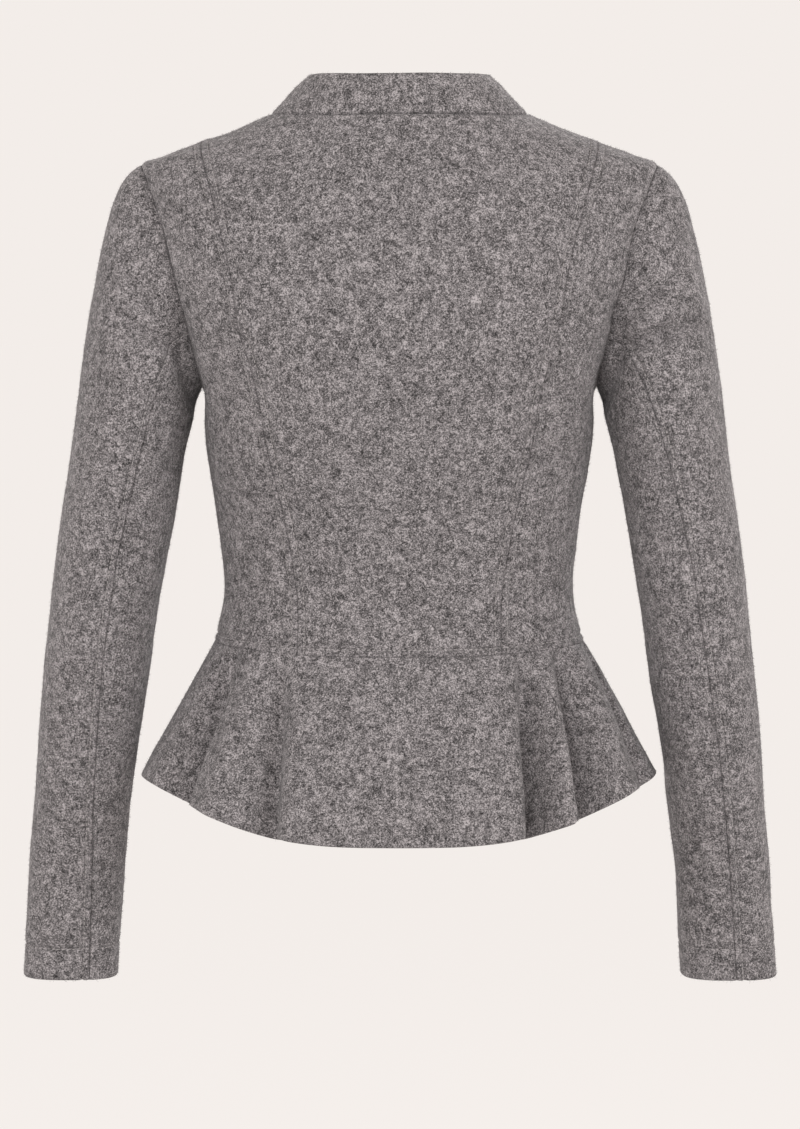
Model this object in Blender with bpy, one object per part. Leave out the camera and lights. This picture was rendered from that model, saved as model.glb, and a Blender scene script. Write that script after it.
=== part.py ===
"""Fitted traditional jacket of boiled wool, filled out as worn, with nobody in it.

Metres, +Z up. The front faces -Y and the wearer's left is +X. The origin is the middle of
the shoulder line, level with the two points where collar and shoulder seam meet.
Every piece of cloth is a wall whose outer face lies on one of four surfaces:
bodice, peplum, collar and sleeve. Neighbouring pieces share the points of their seam.
"""

import math
from collections import namedtuple

import bmesh
import bpy
import numpy as np

# Cloth
WALL = 0.0025
HEM_WALL = 0.0045  # the sleeve hem is turned in and lies double
SEAM_GAP = 0.0003
LAP = 0.015  # how far each front runs past the centre
LAP_RAMP = 0.030
LAP_DROP = WALL + 0.0008  # how deep the under front lies
LAP_CORNER = 0.2  # how far below the neckline the lap's corner lies, in levels of the bodice
COLLAR_END = 0.004  # from the centre front to each collar end
TOP_FADE = 3  # how quickly a panel's mesh leaves the spacing of its top edge
HEM_LEVELS = 0.3  # depth of the sleeve hem, in levels of the sleeve
MIRROR = np.array([-1, 1, 1])

# Fineness of the working
MITRE_LEAST = 0.6  # a mitred wall is drawn out by no more than 1 / this
NORMAL_STEP = 0.001
FLARE_STEP = 0.01
ARRIVE_STEP = 0.02
LINE_DETAIL = 40  # points looked at for each row of a line's table
CENTRE_DETAIL = 400  # points looked at on the centre front
SHARP_DEGREES = 50

# Mesh steps along each kind of seam
SIDE_STEPS = 7
ARMHOLE_STEPS = 12  # each half of the armhole
TIP_STEPS = 4  # shoulder seam, sleeve to back seam
NECK_STEPS = 3  # shoulder seam, back seam to neck
BACK_NECK_STEPS = 10
FRONT_NECK_STEPS = 6
CAP_STEPS = 7
TUBE_STEPS = 10
COLLAR_STEPS = 3
PEPLUM_STEPS = 6
PEPLUM_BACK_COLUMNS = 72
PEPLUM_FRONT_COLUMNS = 30

# Rings of the bodice, from the waist seam to the neckline, each a squarish oval.
Ring = namedtuple("Ring", "z_back z_side z_front half_width y_back y_side y_front square")
BODICE_RINGS = (
    Ring(-0.402, -0.398, -0.400, 0.1400, 0.080, -0.004, -0.092, 2.20),  # waist seam
    Ring(-0.361, -0.359, -0.361, 0.1326, 0.073, -0.006, -0.088, 2.20),  # waist
    Ring(-0.306, -0.306, -0.306, 0.1380, 0.081, -0.006, -0.104, 2.25),  # ribs
    Ring(-0.246, -0.250, -0.248, 0.1460, 0.097, -0.006, -0.127, 2.35),  # bust
    Ring(-0.203, -0.211, -0.206, 0.1500, 0.104, -0.005, -0.123, 2.45),  # underarm
    Ring(-0.160, -0.156, -0.166, 0.1700, 0.108, -0.004, -0.112, 2.40),  # shoulder blades
    Ring(-0.119, -0.095, -0.132, 0.1860, 0.106, -0.003, -0.099, 2.20),  # mid armhole
    Ring(-0.078, -0.0395, -0.108, 0.1930, 0.098, -0.002, -0.089, 1.90),  # shoulder tip
    Ring(-0.035, -0.0215, -0.090, 0.1480, 0.084, -0.001, -0.082, 1.90),  # mid shoulder
    Ring(-0.001, 0.000, -0.072, 0.0965, 0.068, 0.000, -0.076, 2.00),  # neckline
)
UNDERARM, TIP, NECK = 4, 7, 9  # levels: places in the list above

PEPLUM_RINGS = (
    BODICE_RINGS[0],
    Ring(-0.435, -0.424, -0.430, 0.1540, 0.094, -0.004, -0.105, 2.15),
    Ring(-0.468, -0.450, -0.460, 0.1678, 0.110, -0.004, -0.120, 2.10),
    Ring(-0.502, -0.476, -0.491, 0.1818, 0.126, -0.004, -0.136, 2.10),
    Ring(-0.535, -0.501, -0.522, 0.1950, 0.140, -0.004, -0.150, 2.10),  # hem
)

COLLAR_RINGS = (
    BODICE_RINGS[NECK],
    Ring(0.015, 0.014, -0.060, 0.0845, 0.064, 0.000, -0.071, 2.05),
    Ring(0.029, 0.030, -0.045, 0.0710, 0.059, 0.000, -0.065, 2.10),  # top edge
)

# Flutes of the peplum, in degrees from the centre back. The wearer's left is positive.
# Each is a ridge (positive height) or a valley. It leans from its place at the waist seam to
# its place at the hem, and its two spreads are its width on either side there.
Flute = namedtuple("Flute", "waist hem spread_below spread_above height")
FLUTES = (
    Flute(-148, -148, 8, 8, -0.006),
    Flute(-131, -131, 8, 8, 0.007),
    Flute(-114, -114, 8, 8, -0.010),
    Flute(-94, -92, 6, 6, 0.004),
    Flute(-86, -73, 5, 5, -0.014),
    Flute(-68, -58, 6, 6, 0.006),
    Flute(-56, -47, 5, 3.2, -0.015),
    Flute(-47, -39.5, 4, 4, 0.006),
    Flute(-39, -31.5, 4.5, 2.8, -0.016),
    Flute(-32, -25, 3, 8, 0.004),
    Flute(36, 30, 5, 5, -0.006),
    Flute(47, 43, 6, 5, 0.006),
    Flute(58, 57, 6, 6, -0.013),
    Flute(80, 80, 9, 9, 0.005),
    Flute(105, 105, 8, 8, -0.011),
    Flute(121, 121, 8, 8, 0.007),
    Flute(137, 137, 8, 8, -0.010),
    Flute(154, 154, 8, 8, 0.004),
)
FLUTE_LIFT = 0.4  # how far a flute's hem rises for each metre that it stands out
FLUTE_GROWTH = 1.2  # how its height grows from the waist seam down, as a power
PEPLUM_PLUMB = (-200, -170, -90, 0, 90, 170, 200)  # angles that fall straight to the hem

# Back seam over the shoulder blade: level of the bodice and degrees from the centre back.
BACK_SEAM = (
    (0, 32.2),
    (1, 34.1),
    (2, 36.2),
    (3, 39.6),
    (4, 41.1),
    (5, 41.0),
    (6, 41.0),
    (7, 47.5),
    (7.7, 66.0),
    (8.07, 90.0),
)

# Armhole: how far it cuts into the back and the front, in degrees of the bodice's rings
ARMHOLE_BACK, ARMHOLE_FRONT = 26.0, 34.0

# Sleeve below the cap, on the wearer's left: level sections, each a squarish oval
Tube = namedtuple("Tube", "x y z half_width half_depth square")
SLEEVE_TUBES = (
    Tube(0.2071, 0.000, -0.262, 0.0433, 0.056, 2.10),  # upper arm
    Tube(0.2189, 0.002, -0.337, 0.0419, 0.052, 2.10),  # elbow
    Tube(0.2292, -0.002, -0.413, 0.0402, 0.047, 2.15),
    Tube(0.2395, -0.010, -0.490, 0.0377, 0.042, 2.20),
    Tube(0.2474, -0.020, -0.567, 0.0362, 0.037, 2.30),
    Tube(0.2546, -0.032, -0.661, 0.0362, 0.031, 2.60),  # cuff
)
CUFF = len(SLEEVE_TUBES)  # level of the sleeve; 0 is the armhole and 1 the upper arm

# How the sleeve leaves the armhole and how strongly it is pulled to its tube
Leave = namedtuple("Leave", "x y z pull")
LEAVE_TOP = Leave(0.092, 0.000, -0.014, 0.38)
LEAVE_BACK = Leave(0.060, 0.030, -0.055, 0.13)
LEAVE_UNDER = Leave(0.012, 0.000, -0.033, 0.05)
LEAVE_FRONT = Leave(0.060, -0.030, -0.055, 0.13)

# Sleeve seams: degrees round the sleeve from its outer side, through the back.
# The first number is at the armhole and the others at each ring of the tube.
BACK_SEAM_LEFT = (120, 106, 100, 99, 105, 112, 116)
BACK_SEAM_RIGHT = (120, 97, 90, 87, 85, 84, 83)
FORE_SEAM = (240, 232, 230, 230, 230, 230, 230)

# Buttons down the centre front
BUTTON_RADIUS = 0.010
BUTTON_THICKNESS = 0.0042
BUTTON_SEAT = 0.0003
BUTTON_COUNT = 6
BUTTON_TOP, BUTTON_PITCH = -0.088, 0.0585
BUTTON_SIDES = 16
# From the middle of the back, round the edge, to the sunk middle of the front:
# radius and lift, as shares of the button's radius and thickness
BUTTON_PROFILE = (
    (0.0, 0.0),
    (0.80, 0.0),
    (1.00, 0.35),
    (0.97, 0.90),
    (0.85, 1.00),
    (0.60, 0.70),
    (0.0, 0.62),
)

WOOL_COLOUR = (0.185, 0.170, 0.168)
BUTTON_COLOUR = (0.050, 0.045, 0.042)


def through_rows(rows, at):
    """The smooth line through the rows of a table, read at the places at (0 is the first)."""
    table = np.array([tuple(row) for row in rows], float)
    table = np.vstack([2 * table[0] - table[1], table, 2 * table[-1] - table[-2]])
    at = np.asarray(at, float)
    start = np.clip(np.floor(at).astype(int), 0, len(rows) - 2)
    t = (at - start)[..., None]
    a, b, c, d = (table[start + i] for i in range(4))
    bend = 2 * a - 5 * b + 4 * c - d
    twist = 3 * (b - c) + d - a
    return b + 0.5 * t * ((c - a) + t * (bend + t * twist))


def ring_point(ring, angle):
    """Points on squarish ovals. Angle 0 is the centre back and 90 degrees the wearer's left."""
    z_back, z_side, z_front, half_width, y_back, y_side, y_front, square = np.moveaxis(ring, -1, 0)
    sine, cosine = np.sin(angle), np.cos(angle)
    reach = (np.abs(sine) ** square + np.abs(cosine) ** square) ** (-1 / square)
    behind = cosine >= 0
    depth = np.where(behind, y_back - y_side, y_side - y_front)
    z_end = np.where(behind, z_back, z_front)
    share = cosine**4 * (3 - 2 * cosine**2)
    return np.stack(
        [
            half_width * sine * reach,
            y_side + depth * cosine * reach,
            z_side + (z_end - z_side) * share,
        ],
        axis=-1,
    )


def bodice(angle, level):
    return ring_point(through_rows(BODICE_RINGS, level), angle)


def collar(angle, rise):
    """Rise 0 is the neckline and 1 the top edge."""
    return ring_point(through_rows(COLLAR_RINGS, rise * (len(COLLAR_RINGS) - 1)), angle)


def flute_height(hem_angle):
    """How far the hem stands out of, or into, the plain flare at each angle."""
    degrees = np.degrees(hem_angle)
    height = np.zeros_like(degrees)
    for flute in FLUTES:
        off = (degrees - flute.hem + 180) % 360 - 180
        spread = np.where(off < 0, flute.spread_below, flute.spread_above)
        height += flute.height * np.exp(-((off / spread) ** 2))
    return height


def waist_angle(hem_angle):
    """Where on the waist seam the flute line through an angle of the hem begins."""
    places = sorted([(flute.hem, flute.waist) for flute in FLUTES] + [(a, a) for a in PEPLUM_PLUMB])
    hem, waist = np.radians(places).T
    return np.interp(hem_angle, hem, waist)


def flare(angle, drop):
    """The peplum without its flutes. Drop 0 is the waist seam and 1 the hem."""
    return ring_point(through_rows(PEPLUM_RINGS, drop * (len(PEPLUM_RINGS) - 1)), angle)


def peplum(hem_angle, drop):
    """The flare with its flutes, which open out towards the hem."""
    hem_angle, drop = np.broadcast_arrays(np.asarray(hem_angle, float), np.asarray(drop, float))
    angle = waist_angle(hem_angle) * (1 - drop) + hem_angle * drop
    along = flare(angle + FLARE_STEP, drop) - flare(angle - FLARE_STEP, drop)
    outward = np.stack([-along[..., 1], along[..., 0]], axis=-1)
    outward /= np.linalg.norm(outward, axis=-1, keepdims=True)
    height = flute_height(hem_angle) * drop**FLUTE_GROWTH
    points = flare(angle, drop)
    points[..., :2] += outward * height[..., None]
    points[..., 2] += FLUTE_LIFT * height
    return points


def armhole(turn):
    """The closed armhole. Turn 0 is the shoulder tip, 90 degrees the back, 180 the underarm."""
    sine = np.sin(turn)
    cut = np.radians(np.where(sine > 0, ARMHOLE_BACK, ARMHOLE_FRONT)) * sine
    level = (TIP + UNDERARM) / 2 + (TIP - UNDERARM) / 2 * np.cos(turn)
    return math.pi / 2 - cut, level


def tube(turn, level):
    """The sleeve below its cap, level 1 to CUFF."""
    x, y, z, half_width, half_depth, square = np.moveaxis(
        through_rows(SLEEVE_TUBES, level - 1), -1, 0
    )
    sine, cosine = np.sin(turn), np.cos(turn)
    reach = (np.abs(sine) ** square + np.abs(cosine) ** square) ** (-1 / square)
    return np.stack([x + half_width * cosine * reach, y + half_depth * sine * reach, z], axis=-1)


def sleeve(turn, level):
    """The whole left sleeve: a cap from the armhole to level 1, then the tube."""
    turn, level = np.broadcast_arrays(np.asarray(turn, float), np.asarray(level, float))
    sine, cosine = np.sin(turn), np.cos(turn)
    shares = (
        (np.maximum(cosine, 0) ** 2, LEAVE_TOP),
        (np.maximum(sine, 0) ** 2, LEAVE_BACK),
        (np.maximum(-cosine, 0) ** 2, LEAVE_UNDER),
        (np.maximum(-sine, 0) ** 2, LEAVE_FRONT),
    )
    leave = sum(share[..., None] * np.array(row) for share, row in shares)
    start = bodice(*armhole(turn))
    one = np.ones_like(level)
    end = tube(turn, one)
    arrive = tube(turn, one + ARRIVE_STEP) - end
    arrive *= leave[..., 3:] / np.linalg.norm(arrive, axis=-1, keepdims=True)
    t = np.clip(level, 0, 1)[..., None]
    cap = (
        (1 + 2 * t) * (1 - t) ** 2 * start
        + t * (1 - t) ** 2 * leave[..., :3]
        + t**2 * (3 - 2 * t) * end
        - t**2 * (1 - t) * arrive
    )
    return np.where(level[..., None] < 1, cap, tube(turn, np.maximum(level, 1)))


def normals(surface, first, second, limits):
    """Unit normals of a surface. The second argument stays within its limits."""
    low = np.maximum(second - NORMAL_STEP, limits[0])
    high = np.minimum(second + NORMAL_STEP, limits[1])
    across = surface(first + NORMAL_STEP, second) - surface(first - NORMAL_STEP, second)
    along = surface(first, high) - surface(first, low)
    found = np.cross(across, along)
    return found / np.linalg.norm(found, axis=-1, keepdims=True)


def bodice_normals(angle, level):
    return -normals(bodice, angle, level, (0, NECK))


def peplum_normals(angle, drop):
    return normals(peplum, angle, drop, (0, 1))


def collar_normals(angle, rise):
    return -normals(collar, angle, rise, (0, 1))


def sleeve_normals(turn, level):
    return -normals(sleeve, turn, level, (0, CUFF))


def mitre(one, other):
    """The shared direction of two walls that meet, long enough to keep their thickness."""
    middle = one + other
    middle /= np.linalg.norm(middle, axis=-1, keepdims=True)
    return middle / np.maximum(MITRE_LEAST, (middle * one).sum(axis=-1, keepdims=True))


def waist_mitre(angle):
    start = np.zeros_like(angle)
    return mitre(bodice_normals(angle, start), normals(flare, angle, start, (0, 1)))


def neck_mitre(angle):
    end = np.full_like(angle, NECK)
    return mitre(bodice_normals(angle, end), collar_normals(angle, end * 0))


def armhole_mitre(turn):
    return mitre(bodice_normals(*armhole(turn)), sleeve_normals(turn, np.zeros_like(turn)))


def evenly(surface, controls, steps):
    """Points of a line on a surface, evenly spaced. controls are rows of the two parameters."""
    fine = through_rows(controls, np.linspace(0, len(controls) - 1, LINE_DETAIL * len(controls)))
    points = surface(fine[:, 0], fine[:, 1])
    lengths = np.linalg.norm(np.diff(points, axis=0), axis=1)
    travelled = np.concatenate([[0], np.cumsum(lengths)])
    wanted = np.linspace(0, travelled[-1], steps + 1)
    return np.stack([np.interp(wanted, travelled, fine[:, k]) for k in (0, 1)], axis=1)


def joined(*lines):
    """Lines end to end, each shared point once."""
    return np.concatenate([lines[0], *(line[1:] for line in lines[1:])])


def filled(bottom, top, left, right):
    """The grid of surface parameters between four edges, rows from bottom to top."""
    across = np.linspace(0, 1, len(bottom))[:, None]
    up = np.linspace(0, 1, len(left))[:, None, None]
    low_bend = bottom - bottom[0] - (bottom[-1] - bottom[0]) * across
    high_bend = top - top[0] - (top[-1] - top[0]) * across
    straight = left[:, None] + (right - left)[:, None] * across
    return straight + (1 - up) * low_bend + up**TOP_FADE * high_bend


def side_line(sign):
    """Side seam then armhole, from the waist up. sign is 1 for the back and -1 for the front."""
    seam = evenly(bodice, ((math.pi / 2, 0), (math.pi / 2, UNDERARM)), SIDE_STEPS)
    turn = math.pi - np.linspace(0, math.pi, ARMHOLE_STEPS + 1)
    return joined(seam, np.stack(armhole(sign * turn), axis=1))


def back_seam_line():
    """The back seam from the waist up to the shoulder seam."""
    rows = [(math.radians(angle), level) for level, angle in BACK_SEAM]
    below, above = rows[: UNDERARM + 1], rows[UNDERARM:]
    return joined(evenly(bodice, below, SIDE_STEPS), evenly(bodice, above, ARMHOLE_STEPS))


def shoulder_line():
    """The shoulder seam from the sleeve to the neck, with the back seam's point on it."""
    side = math.pi / 2
    crossing = BACK_SEAM[-1][0]
    outer = evenly(bodice, ((side, TIP), (side, crossing)), TIP_STEPS)
    inner = evenly(bodice, ((side, crossing), (side, NECK)), NECK_STEPS)
    return outer, inner


def angle_past_centre(surface_row, offset):
    """The angle at which a ring is offset metres to the wearer's left of the centre front."""
    return math.pi - math.asin(offset / surface_row.half_width)


def waist_line(start, end, steps):
    """Parameters along the waist seam."""
    return evenly(bodice, ((start, 0), (end, 0)), steps)


def front_edge(offset):
    """A front's edge, offset metres to the wearer's left of the centre, from the waist up."""
    rows = [(angle_past_centre(ring, offset), n) for n, ring in enumerate(BODICE_RINGS)]
    rows[-1] = (rows[-1][0], NECK - LAP_CORNER)
    below, above = rows[: UNDERARM + 1], rows[UNDERARM:]
    return joined(evenly(bodice, below, SIDE_STEPS), evenly(bodice, above, ARMHOLE_STEPS))


def neck_angles():
    """Angles of the front neckline's points from the shoulder seam to the collar's end."""
    end = angle_past_centre(BODICE_RINGS[NECK], COLLAR_END)
    return evenly(bodice, ((math.pi / 2, NECK), (end, NECK)), FRONT_NECK_STEPS)[:, 0]


def back_centre_grid():
    seam = back_seam_line()
    mirrored = seam * (-1, 1)
    _, inner = shoulder_line()
    side = math.pi / 2
    neckline = evenly(bodice, ((-side, NECK), (side, NECK)), BACK_NECK_STEPS)
    top = joined(inner * (-1, 1), neckline, inner[::-1])
    bottom = waist_line(mirrored[0, 0], seam[0, 0], len(top) - 1)
    return filled(bottom, top, mirrored, seam)


def back_side_grid():
    left, right = back_seam_line(), side_line(1)
    outer, _ = shoulder_line()
    bottom = waist_line(left[0, 0], right[0, 0], TIP_STEPS)
    return filled(bottom, outer[::-1], left, right)


def front_grid(past):
    """A left front whose edge runs past the centre front by that much."""
    left, right = side_line(-1), front_edge(-past)
    outer, inner = shoulder_line()
    neckline = np.stack([neck_angles(), np.full(FRONT_NECK_STEPS + 1, float(NECK))], axis=1)
    top = joined(outer, inner, neckline, right[-1:].repeat(2, axis=0))
    bottom = waist_line(left[0, 0], right[0, 0], len(top) - 1)
    return filled(bottom, top, left, right)


def tucked(points, directions):
    """Points of the left half. Close to the centre front they lie below the right front."""
    share = np.clip((LAP + LAP_RAMP - points[..., 0]) / LAP_RAMP, 0, 1)
    share = share * share * (3 - 2 * share) * (points[..., 1] < 0)
    return points - directions * (LAP_DROP * share)[..., None]


def inset(points, directions):
    """Moves each edge of a grid in by half the seam gap, square to the seam and its wall."""
    moved = points.copy()
    for at, inner in ((np.s_[0], 1), (np.s_[-1], -2), (np.s_[:, 0], 1), (np.s_[:, -1], -2)):
        edge = points[at]
        beside = points[inner] if isinstance(at, int) else points[:, inner]
        inward = np.cross(np.gradient(edge, axis=0), directions[at])
        inward /= np.linalg.norm(inward, axis=1, keepdims=True)
        inward *= np.sign(((beside - edge) * inward).sum(axis=1, keepdims=True))
        moved[at] += inward * SEAM_GAP / 2
    return moved


def rim_faces(outer, inner, points):
    """Two triangles for each step of a rim.

    The diagonal goes by a number that both neighbours of a seam work out from the shared
    points alone, the same on the right and the left, so their rims divide the same way.
    """
    key = points @ np.array([0.0, 0.11, 1.0]) + np.abs(points[:, 0])
    faces = []
    for k, (a, c) in enumerate(zip(outer, inner)):
        n = (k + 1) % len(outer)
        b, d = outer[n], inner[n]
        if key[a] > key[b]:
            faces += [(a, c, d), (a, d, b)]
        else:
            faces += [(a, c, b), (b, c, d)]
    return faces


def material(name, colour, roughness):
    made = bpy.data.materials.new(name)
    made.use_nodes = True
    shader = made.node_tree.nodes["Principled BSDF"]
    shader.inputs["Base Color"].default_value = (*colour, 1)
    shader.inputs["Roughness"].default_value = roughness
    shader.inputs["Metallic"].default_value = 0
    return made


def add_mesh(name, points, faces, surface_material):
    mesh = bpy.data.meshes.new(name)
    mesh.from_pydata([tuple(p) for p in points], [], faces)
    mesh.validate()
    body = bmesh.new()
    body.from_mesh(mesh)
    bmesh.ops.recalc_face_normals(body, faces=body.faces)
    body.to_mesh(mesh)
    body.free()
    mesh.materials.append(surface_material)
    mesh.shade_smooth()
    mesh.set_sharp_from_angle(angle=math.radians(SHARP_DEGREES))
    made = bpy.data.objects.new(name, mesh)
    bpy.context.scene.collection.objects.link(made)


def add_cloth(name, points, directions, wool, wall=WALL):
    """A wall of cloth: its outer face is the grid of points and its inner face lies wall deep."""
    outer = inset(points, directions)
    thickness = np.broadcast_to(wall, points.shape[:2])[..., None]
    inner = outer - directions * thickness
    rows, columns = points.shape[:2]
    index = np.arange(rows * columns).reshape(rows, columns)
    under = index + rows * columns
    faces = []
    for r in range(rows - 1):
        for c in range(columns - 1):
            a, b, d, e = index[r, c], index[r, c + 1], index[r + 1, c + 1], index[r + 1, c]
            faces.append((a, b, d, e))
            faces.append(tuple(rows * columns + k for k in (e, d, b, a)))
    rim = [*index[0], *index[1:, -1], *index[-1, -2::-1], *index[-2:0:-1, 0]]
    below = [*under[0], *under[1:, -1], *under[-1, -2::-1], *under[-2:0:-1, 0]]
    faces += rim_faces(rim, below, points.reshape(-1, 3))
    whole = np.vstack([outer.reshape(-1, 3), inner.reshape(-1, 3)])
    add_mesh(name, whole, [tuple(int(v) for v in f) for f in faces], wool)


def bodice_wall(grid, armhole_column=None, sign=1):
    """Outer points and wall directions, mitred at the waist seam, neckline and armhole."""
    angle, level = grid[..., 0], grid[..., 1]
    directions = bodice_normals(angle, level)
    directions[0] = waist_mitre(angle[0])
    at_neck = np.isclose(level[-1], NECK)
    directions[-1, at_neck] = neck_mitre(angle[-1, at_neck])
    if armhole_column is not None:
        turn = sign * (math.pi - np.linspace(0, math.pi, ARMHOLE_STEPS + 1))
        directions[SIDE_STEPS:, armhole_column] = armhole_mitre(turn)
    return bodice(angle, level), directions


def add_bodice(wool):
    add_cloth("back_centre", *bodice_wall(back_centre_grid()), wool)
    points, directions = bodice_wall(back_side_grid(), -1, 1)
    add_cloth("back_side_left", points, directions, wool)
    add_cloth("back_side_right", points * MIRROR, directions * MIRROR, wool)
    points, directions = bodice_wall(front_grid(LAP), 0, -1)
    add_cloth("front_left", tucked(points, directions), directions, wool)
    add_cloth("front_right", points * MIRROR, directions * MIRROR, wool)


def add_collar(wool):
    front = neck_angles()
    back = evenly(bodice, ((-math.pi / 2, NECK), (math.pi / 2, NECK)), BACK_NECK_STEPS)[:, 0]
    angle = np.concatenate([-front[::-1], back[1:-1], front])
    angle, rise = np.meshgrid(angle, np.linspace(0, 1, COLLAR_STEPS + 1))
    directions = collar_normals(angle, rise)
    directions[0] = neck_mitre(angle[0])
    points = collar(angle, rise)
    left = np.s_[:, len(front) + BACK_NECK_STEPS - 1 :]
    points[left] = tucked(points[left], directions[left])
    add_cloth("collar", points, directions, wool)


def add_peplum(wool):
    side = math.pi / 2
    drop = np.linspace(0, 1, PEPLUM_STEPS + 1)
    waist, hem = PEPLUM_RINGS[0], PEPLUM_RINGS[-1]

    def piece(name, start, end, columns, mirrored=False, under=False):
        share = np.linspace(0, 1, columns + 1)
        angle = np.stack([first + (last - first) * share for first, last in zip(start, end)])
        deep = np.repeat(drop[:, None], columns + 1, axis=1)
        flip = -1 if mirrored else 1
        points = peplum(flip * angle, deep)
        directions = peplum_normals(flip * angle, deep)
        directions[0] = waist_mitre(waist_angle(flip * angle[0]))
        if under:
            points = tucked(points, directions)
        add_cloth(name, points, directions, wool)

    flat_side = np.full(PEPLUM_STEPS + 1, side)
    widths = waist.half_width + (hem.half_width - waist.half_width) * drop
    edge = math.pi + np.arcsin(LAP / widths)
    piece("peplum_back", -flat_side, flat_side, PEPLUM_BACK_COLUMNS)
    piece("peplum_front_left", flat_side, edge, PEPLUM_FRONT_COLUMNS, under=True)
    piece("peplum_front_right", flat_side, edge, PEPLUM_FRONT_COLUMNS, mirrored=True)


def add_sleeve(hand, back_seam, wool):
    """An upper and an under sleeve that meet at the back seam and the fore seam."""
    flip = MIRROR if hand == "right" else np.ones(3)
    level = joined(np.linspace(0, 1, CAP_STEPS + 1), np.linspace(1, CUFF, TUBE_STEPS + 1))
    seam = np.radians(np.interp(level, range(CUFF + 1), back_seam))
    fore = np.radians(np.interp(level, range(CUFF + 1), FORE_SEAM))
    full = 2 * math.pi
    step = math.pi / ARMHOLE_STEPS
    hem = np.where(level > CUFF - HEM_LEVELS, HEM_WALL, WALL)

    for name, start, end in (("upper", fore - full, seam), ("under", seam, fore)):
        columns = round(float(end[0] - start[0]) / step)
        share = np.linspace(0, 1, columns + 1)
        turn = start[:, None] + (end - start)[:, None] * share
        deep = np.repeat(level[:, None], columns + 1, axis=1)
        directions = sleeve_normals(turn, deep)
        directions[0] = armhole_mitre(turn[0])
        points = sleeve(turn, deep)
        wall = np.repeat(hem[:, None], columns + 1, axis=1)
        add_cloth(f"{name}_sleeve_{hand}", points * flip, directions * flip, wool, wall)


def add_buttons(horn):
    """Turned discs with a sunk middle, square to the front, down the centre line."""
    sides = BUTTON_SIDES
    centre = np.array(math.pi)
    levels = np.linspace(0, NECK, CENTRE_DETAIL)
    line = bodice(np.full_like(levels, centre), levels)
    for number in range(BUTTON_COUNT):
        height = BUTTON_TOP - number * BUTTON_PITCH
        level = np.interp(height, line[:, 2], levels)
        seat = bodice(centre, level)
        out = bodice_normals(centre, level)
        across = np.array([1.0, 0.0, 0.0])
        up = np.cross(out, across)
        near = line[np.linalg.norm(line - seat, axis=1) < BUTTON_RADIUS]
        clear = BUTTON_SEAT + max(0, ((near - seat) @ out).max())
        points = []
        for radius, lift in BUTTON_PROFILE:
            ring = range(sides) if radius else range(1)
            for k in ring:
                turn = 2 * math.pi * k / sides
                flat = (across * math.cos(turn) + up * math.sin(turn)) * radius * BUTTON_RADIUS
                points.append(seat + flat + out * (clear + lift * BUTTON_THICKNESS))
        faces = [(0, 1 + k, 1 + (k + 1) % sides) for k in range(sides)]
        ring_count = len(BUTTON_PROFILE) - 2
        for ring in range(ring_count - 1):
            first = 1 + ring * sides
            for k in range(sides):
                n = (k + 1) % sides
                faces.append((first + k, first + sides + k, first + sides + n, first + n))
        last, tip = 1 + (ring_count - 1) * sides, len(points) - 1
        faces += [(tip, last + (k + 1) % sides, last + k) for k in range(sides)]
        add_mesh(f"button_{number + 1}", points, faces, horn)


def main():
    for old in list(bpy.data.objects):
        bpy.data.objects.remove(old)
    wool = material("boiled_wool", WOOL_COLOUR, 0.95)
    horn = material("horn", BUTTON_COLOUR, 0.4)
    add_bodice(wool)
    add_collar(wool)
    add_peplum(wool)
    add_sleeve("left", BACK_SEAM_LEFT, wool)
    add_sleeve("right", BACK_SEAM_RIGHT, wool)
    add_buttons(horn)


main()
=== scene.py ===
"""Looks of a fitted jacket of mottled grey boiled wool, filled out as worn, seen from its back.

Metres, +Z up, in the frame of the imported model: the front faces -Y, the back +Y, and the
wearer's left is +X. Each piece of cloth is a closed thin shell whose outer face follows the
same surface as its solid, with its folds, seams, stitches and nap added.
"""

import math
from collections import namedtuple

import bpy
import numpy as np
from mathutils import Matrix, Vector


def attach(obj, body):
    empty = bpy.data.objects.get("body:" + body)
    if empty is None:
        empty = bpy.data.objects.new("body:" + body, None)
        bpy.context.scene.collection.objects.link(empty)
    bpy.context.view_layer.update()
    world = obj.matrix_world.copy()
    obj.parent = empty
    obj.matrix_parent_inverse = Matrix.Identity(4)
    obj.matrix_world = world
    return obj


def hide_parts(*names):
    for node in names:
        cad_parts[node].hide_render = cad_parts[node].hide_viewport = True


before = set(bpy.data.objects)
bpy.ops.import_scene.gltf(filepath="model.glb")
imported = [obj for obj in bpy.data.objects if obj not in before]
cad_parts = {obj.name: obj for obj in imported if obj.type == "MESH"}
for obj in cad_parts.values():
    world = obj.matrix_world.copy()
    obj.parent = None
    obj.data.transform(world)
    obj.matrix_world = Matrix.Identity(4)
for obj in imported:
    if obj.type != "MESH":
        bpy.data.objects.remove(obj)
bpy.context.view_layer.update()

# Cloth, as in the solids
WALL = 0.0025
HEM_WALL = 0.0045  # the sleeve hem is turned in and lies double
HEM_LEVELS = 0.3  # depth of the sleeve hem, in levels of the sleeve
LAP = 0.015
LAP_RAMP = 0.030
LAP_DROP = WALL + 0.0008
LAP_CORNER = 0.2  # how far below the neckline the lap's corner lies, in levels of the bodice
COLLAR_END = 0.004  # from the centre front to each collar end
TOP_FADE = 3  # how quickly a panel's mesh leaves the spacing of its top edge
MITRE_LEAST = 0.6  # a mitred wall is drawn out by no more than 1 / this
NORMAL_STEP = 0.001  # of angles and levels, when normals are worked out
FLARE_STEP = 0.01
ARRIVE_STEP = 0.02
LINE_DETAIL = 40  # points looked at for each row of a line's table
MIRROR = np.array([-1, 1, 1])
SIDE = math.pi / 2  # the angle of the side seam and the shoulder seam
MM = 0.001

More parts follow.
